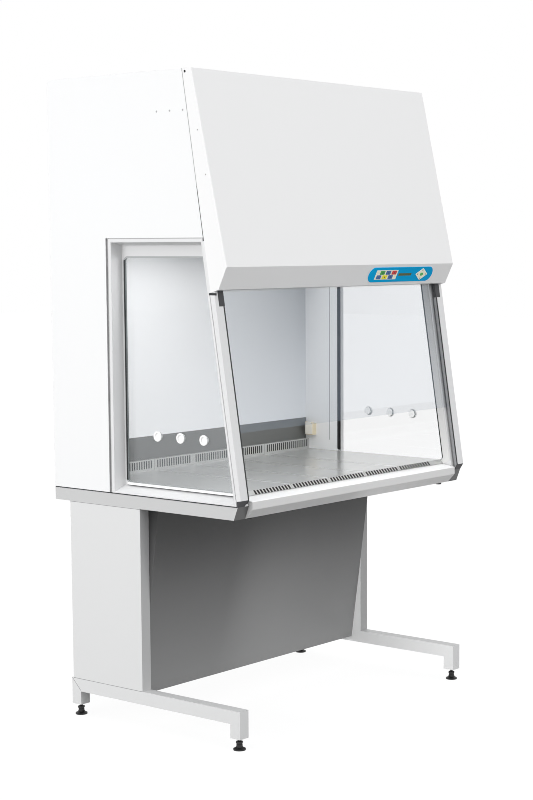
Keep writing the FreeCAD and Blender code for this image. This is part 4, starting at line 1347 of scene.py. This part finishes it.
@dataclass
class ControlPanel(Assembly):
    """Capsule panel on the chin with its keys, display and arrow pad."""

    OUTFITS = (
        (PANEL_FILM, ["control_panel"]),
        (DISPLAY, ["display_window"]),
        (SELECT_GREEN, ["select_button"]),
    )
    chin_depth: float = 0.036
    chin_height: float = 0.073
    chin_lip: float = 0.01
    plate_front: float = -0.002
    plate_sink: float = 0.0002
    plate_swell: float = 0.0004
    plate_edge: float = 0.0003
    keypad_margin: float = 0.00875
    keypad_half: float = 0.0185
    pad_half_width: float = 0.038
    pad_half_height: float = 0.0245
    pad_thickness: float = 0.0009
    pad_corner: float = 0.16
    pad_edge: float = 0.0005
    arrow_reach: float = 0.0255
    arrow_radius: float = 0.0032
    key_front: float = -0.0036
    key_grain: float = 1300.0
    key_grain_depth: float = 0.00003
    ink: float = 0.0003
    dot_radius: float = 0.0026
    square_radius: float = 0.0036
    ring_radius: float = 0.003
    ring_wire: float = 0.0004
    bar_half: Pair = (0.0045, 0.0007)

    def chin(self) -> Vector:
        """Middle of the chin, from the hood's lowest and foremost edges."""
        rise = Vector((0.0, self.chin_depth / 2, self.chin_lip + self.chin_height / 2))
        return rise + Vector((0.0, *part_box("front_hood")[0].yz))

    def turn(self) -> Matrix:
        """Turn from the chin's frame of X, inward and up the chin to the cabinet's."""
        return Matrix.Rotation(math.atan2(self.chin_depth, self.chin_height), 4, "X")

    def on_chin(self, mesh: Shape) -> Shape:
        """Move a mesh from the chin's frame to the cabinet's."""
        return Maker.moved(mesh, Matrix.Translation(self.chin()) @ self.turn())

    def facing(self, mesh: Shape, x_place: float, front: float, z_place: float) -> Shape:
        """Stand a flat shape up on the chin, with its top outward.

        Args:
            mesh: the shape, on the XY plane.
            x_place, front, z_place: its place in the chin's frame.

        Returns:
            The mesh, moved.
        """
        upright = Matrix.Rotation(QUARTER_TURN, 4, "X")
        place = Matrix.Translation((x_place, front, z_place))
        return self.on_chin(Maker.moved(mesh, place @ upright))

    def pad_middle(self) -> float:
        """Place of the arrow pad along X, round the select button."""
        low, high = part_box("select_button")
        return (low.x + high.x) / 2

    def keypad_plate(self) -> None:
        """Cream ground under the keys."""
        start = min(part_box(name)[0].x for name in KEYS) - self.keypad_margin
        end = max(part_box(name)[1].x for name in KEYS) + self.keypad_margin
        low = (start, self.plate_front - self.plate_swell, -self.keypad_half)
        high = (end, self.plate_front + self.plate_sink, self.keypad_half)
        mesh = self.on_chin(Maker.block(low, high, self.plate_edge, 1))
        self.wardrobe.add([mesh], "keypad_ground", KEYPAD_CREAM, "cream_plastic")

    def arrow_pad(self) -> None:
        """Cream diamond with rounded corners and a rounded rim."""
        middle = self.pad_thickness / 2
        mesh = Maker.disc(1.0, self.pad_thickness, 4)
        upright = [
            part for part in mesh.edges
            if abs(part.verts[0].co.z - part.verts[1].co.z) > middle
        ]
        Maker.bevel(mesh, upright, self.pad_corner, 6)
        top = Maker.edges_above(mesh, middle)
        stretch = Matrix.Diagonal((self.pad_half_width, self.pad_half_height, 1.0, 1.0))
        Maker.moved(mesh, stretch)
        Maker.bevel(mesh, top, self.pad_edge, 2)
        mesh = self.facing(mesh, self.pad_middle(), self.plate_front, 0.0)
        self.wardrobe.add([mesh], "arrow_ground", KEYPAD_CREAM, "cream_plastic")

    def arrow_marks(self) -> None:
        """Four small dark triangles that point outwards on the arrow pad."""
        front = self.plate_front - self.pad_thickness
        flatness = self.pad_half_height / self.pad_half_width
        meshes = []
        for index in range(4):
            angle = index * QUARTER_TURN
            reach = self.arrow_reach * (1.0 if index % 2 == 0 else flatness)
            away = Vector((math.cos(angle), math.sin(angle), 0)) * reach
            spin = Matrix.Rotation(angle + QUARTER_TURN, 4, "Z")
            mark = Maker.disc(self.arrow_radius, self.ink, 3)
            mark = Maker.moved(mark, Matrix.Translation(away) @ spin)
            meshes.append(self.facing(mark, self.pad_middle(), front, 0.0))
        self.wardrobe.add(meshes, "arrow_marks", BLACK_PLASTIC, "black_plastic")

    def mark_shape(self, mark: KeyMark) -> Shape:
        """The flat shape of a key's mark.

        Args:
            mark: the kind of mark.

        Returns:
            The bmesh, on the XY plane.
        """
        if mark is KeyMark.DOT:
            return Maker.disc(self.dot_radius, self.ink, 20)
        if mark is KeyMark.SQUARE:
            return Maker.disc(self.square_radius, self.ink, 4)
        if mark is KeyMark.RING:
            ring = Maker.ring(self.ring_radius, self.ring_wire, 24, 6)
            return Maker.moved(ring, Matrix.Translation((0, 0, self.ink)))
        width, height = self.bar_half
        return Maker.block((-width, -height, 0), (width, height, self.ink))

    def key(self, name: str, colour: Colour, mark: KeyMark) -> None:
        """Dress a push key and print a plain mark on it.

        Args:
            name: the key's node.
            colour: the colour of its film.
            mark: the shape of its mark.
        """
        film = Moulded(name + " film", colour, 0.45, self.key_grain, self.key_grain_depth)
        self.wardrobe.dress([name], film)
        low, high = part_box(name)
        middle = (low + high) / 2
        up_chin = (self.turn().to_3x3().transposed() @ (middle - self.chin())).z
        mesh = self.facing(self.mark_shape(mark), middle.x, self.key_front, up_chin)
        self.wardrobe.add([mesh], name + "_mark", KEY_INK, "black_plastic", name + "_body")

    def make(self) -> None:
        """Make the pieces."""
        self.keypad_plate()
        self.arrow_pad()
        self.arrow_marks()
        for name, (colour, mark) in KEYS.items():
            self.key(name, colour, mark)


@dataclass
class Stand(Assembly):
    """Foot beams, columns, knee panel and levelling feet."""

    OUTFITS = (
        (BEAM_WHITE, ["foot_beam_left"]),
        (RIGHT_BEAM_WHITE, ["foot_beam_right"]),
        (COLUMN_WHITE, ["stand_column_left"]),
        (RIGHT_COLUMN_WHITE, ["stand_column_right"]),
        (KNEE_GREY, ["knee_panel"]),
        (BLACK_PLASTIC, FEET),
    )
    line: float = 0.0014
    line_sink: float = 0.001
    line_swell: float = 0.0002
    mitre_half: float = 0.0006
    mitre_sink: float = 0.0004
    nut_width: float = 0.0125
    nut_thickness: float = 0.007
    nut_edge: float = 0.0008
    nut_height: float = 0.0225
    boot: tuple[Pair, ...] = (
        (0.0095, 0.0098), (0.0125, 0.0102), (0.0105, 0.0145), (0.0105, 0.019), (0.0092, 0.0195),
    )

    def foot_boots(self) -> None:
        """Black collar and hexagon lock nut round each foot's neck."""
        for name in FEET:
            low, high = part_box(name)
            middle = (low + high) / 2
            at_foot = Matrix.Translation((middle.x, middle.y, low.z))
            collar = Maker.moved(Maker.turned(self.boot), at_foot)
            nut = Maker.disc(self.nut_width, self.nut_thickness, 6, self.nut_edge)
            nut = Maker.moved(nut, at_foot @ Matrix.Translation((0, 0, self.nut_height)))
            body = name.removeprefix("levelling_")
            self.wardrobe.add([collar, nut], name + "_boot", BLACK_PLASTIC, "black_plastic", body)

    def joint_lines(self) -> None:
        """Fine lines: joints of column on beam and the mitre at the beam's rear, and a line of
        painted shadow on the column under the slab.
        """
        low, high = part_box("stand_column_right")
        beam_low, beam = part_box("foot_beam_right")
        half = self.line / 2
        meshes = []
        # At the beam's top a joint line; at the column's top a line of painted shadow under the
        # slab.
        for level in (beam.z, high.z - self.line):
            first = (beam.x - self.line_sink, low.y, level - half)
            meshes += Maker.both_sides(first, (beam.x + self.line_swell, high.y, level + half))
        width = beam.x - beam_low.x
        turn = Matrix.Rotation(QUARTER_TURN / 2, 4, "X")
        for side in SIDES:
            first = (-self.mitre_half, 0, -half)
            mitre = Maker.block(first, (self.mitre_half, math.hypot(width, width), half))
            corner = (side * (beam.x - self.mitre_sink), beam.y - width, beam.z - width)
            meshes.append(Maker.moved(mitre, Matrix.Translation(corner) @ turn))
        self.wardrobe.add(meshes, "stand_joint_and_shadow_lines", LINE_GREY, "painted_sheet")

    def make(self) -> None:
        """Make the pieces."""
        self.foot_boots()
        self.joint_lines()


@dataclass(frozen=True)
class SoftBox:
    """A rectangular lamp: its place, what it points at, its width and height, and its watts."""

    name: str
    place: Point
    target: Point
    size: Pair
    power: float


@dataclass
class Studio:
    """Floor, light and camera."""

    eye: Point = (-4.9323, -4.1849, 1.6513)
    heading: float = 51.24
    dip: float = 6.897
    roll: float = -0.197
    focal_pixels: float = 1781.58
    middle_pixels: Pair = (314.06, 461.76)
    picture: tuple[int, int] = (533, 800)
    sensor: float = 36.0
    view_reach: float = 200.0
    floor_size: float = 60.0
    floor_paint: float = 0.12
    floor_glow: float = 0.9
    sky: float = 1.05
    sky_colour: Colour = paint(0.98, 0.99, 1.0)
    lamps: tuple[SoftBox, ...] = (
        SoftBox("left soft box", (-6.0, 0.6, 1.9), (0.0, 0.0, 1.3), (4.0, 3.0), 160.0),
        SoftBox("front soft box", (-0.5, -6.0, 3.6), (0.0, 0.0, 1.3), (4.0, 2.0), 75.0),
        SoftBox("chamber light", (0.0, 0.0, 1.625), (0.0, -0.02, 0.625), (1.05, 0.3), 2.3),
        SoftBox("chamber wash", (-0.4, -0.1, 1.6), (-0.45, 0.3, 1.48), (0.3, 0.12), 0.6),
        SoftBox("stand fill", (-0.1, -0.4, 0.42), (0.64, -0.25, 0.3), (0.4, 0.3), 1.1),
    )

    def camera(self) -> None:
        """Place the camera where the picture was taken from."""
        data = bpy.data.cameras.new("view")
        long_side = max(self.picture)
        data.sensor_width = self.sensor
        data.lens = self.focal_pixels / long_side * self.sensor
        data.shift_x = (self.picture[0] / 2 - self.middle_pixels[0]) / long_side
        data.shift_y = (self.middle_pixels[1] - self.picture[1] / 2) / long_side
        data.clip_end = self.view_reach
        made = bpy.data.objects.new("view", data)
        turn = Matrix.Rotation(-math.radians(self.heading), 4, "Z")
        tip = Matrix.Rotation(math.radians(90 - self.dip), 4, "X")
        tilt = Matrix.Rotation(math.radians(self.roll), 4, "Z")
        made.matrix_world = Matrix.Translation(self.eye) @ turn @ tip @ tilt
        bpy.context.scene.collection.objects.link(made)
        bpy.context.scene.camera = made

    @staticmethod
    def seen_rays(graph: Graph) -> Value:
        """Tell the rays that a viewer sees straight, in a mirror or through glass.

        Args:
            graph: the tree that it is asked for in.

        Returns:
            One for such a ray, else zero.
        """
        kinds = ("Is Camera Ray", "Is Glossy Ray", "Is Transmission Ray")
        first, second, third = (graph.node("LightPath", {}, kind) for kind in kinds)
        return (first + second + third).clamped()

    def world(self) -> None:
        """Soft even light, white where a viewer sees it."""
        world = bpy.data.worlds.new("studio")
        bpy.context.scene.world = world
        world.use_nodes = True
        world.node_tree.nodes.clear()
        graph = Graph.of_tree(world.node_tree)
        seen = graph.node("Background", {0: grey(1.0), 1: 1.0})
        soft = graph.node("Background", {0: self.sky_colour, 1: self.sky})
        sky = graph.node("MixShader", {0: self.seen_rays(graph), 1: soft, 2: seen})
        graph.lead(sky, "World")

    def floor(self) -> None:
        """Plain pale floor that keeps a faint shadow."""
        mesh = bmesh.new()
        bmesh.ops.create_grid(mesh, x_segments=1, y_segments=1, size=self.floor_size / 2)
        graph = Graph("studio floor")
        cover = graph.node("BsdfDiffuse", {"Color": grey(self.floor_paint)})
        light = {"Color": grey(1.0), "Strength": self.seen_rays(graph) * self.floor_glow}
        glow = graph.node("Emission", light)
        shader = graph.node("AddShader", {0: cover, 1: glow})
        made = Maker.placed(mesh, "floor", graph.finished(shader))

    @staticmethod
    def hang(lamp: SoftBox) -> None:
        """Hang a lamp that lights the scene but isn't seen, nor mirrored.

        Args:
            lamp: the lamp's values.
        """
        data = bpy.data.lights.new(lamp.name, "AREA")
        data.shape = "RECTANGLE"
        data.size, data.size_y = lamp.size
        data.energy = lamp.power
        made = bpy.data.objects.new(lamp.name, data)
        away = Vector(lamp.target) - Vector(lamp.place)
        turn = away.to_track_quat("-Z", "Y").to_matrix().to_4x4()
        made.matrix_world = Matrix.Translation(lamp.place) @ turn
        made.visible_camera = False
        made.visible_glossy = False
        bpy.context.scene.collection.objects.link(made)

    def build(self) -> None:
        """Set the stage."""
        self.camera()
        self.world()
        self.floor()
        for lamp in self.lamps:
            self.hang(lamp)


def main() -> None:
    """Dress the cabinet and set the stage."""
    logging.basicConfig(level=logging.INFO, format="%(name)s: %(message)s")
    FRAME.update(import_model())
    scene = bpy.context.scene
    scene.view_settings.view_transform = "Standard"
    scene.cycles.filter_width = PIXEL_FILTER
    wardrobe = Wardrobe()
    for part in (Housing, WorkChamber, Machinery, ControlPanel, Stand):
        part(wardrobe).build()
    Studio().build()


if __name__ == "__main__":
    main()
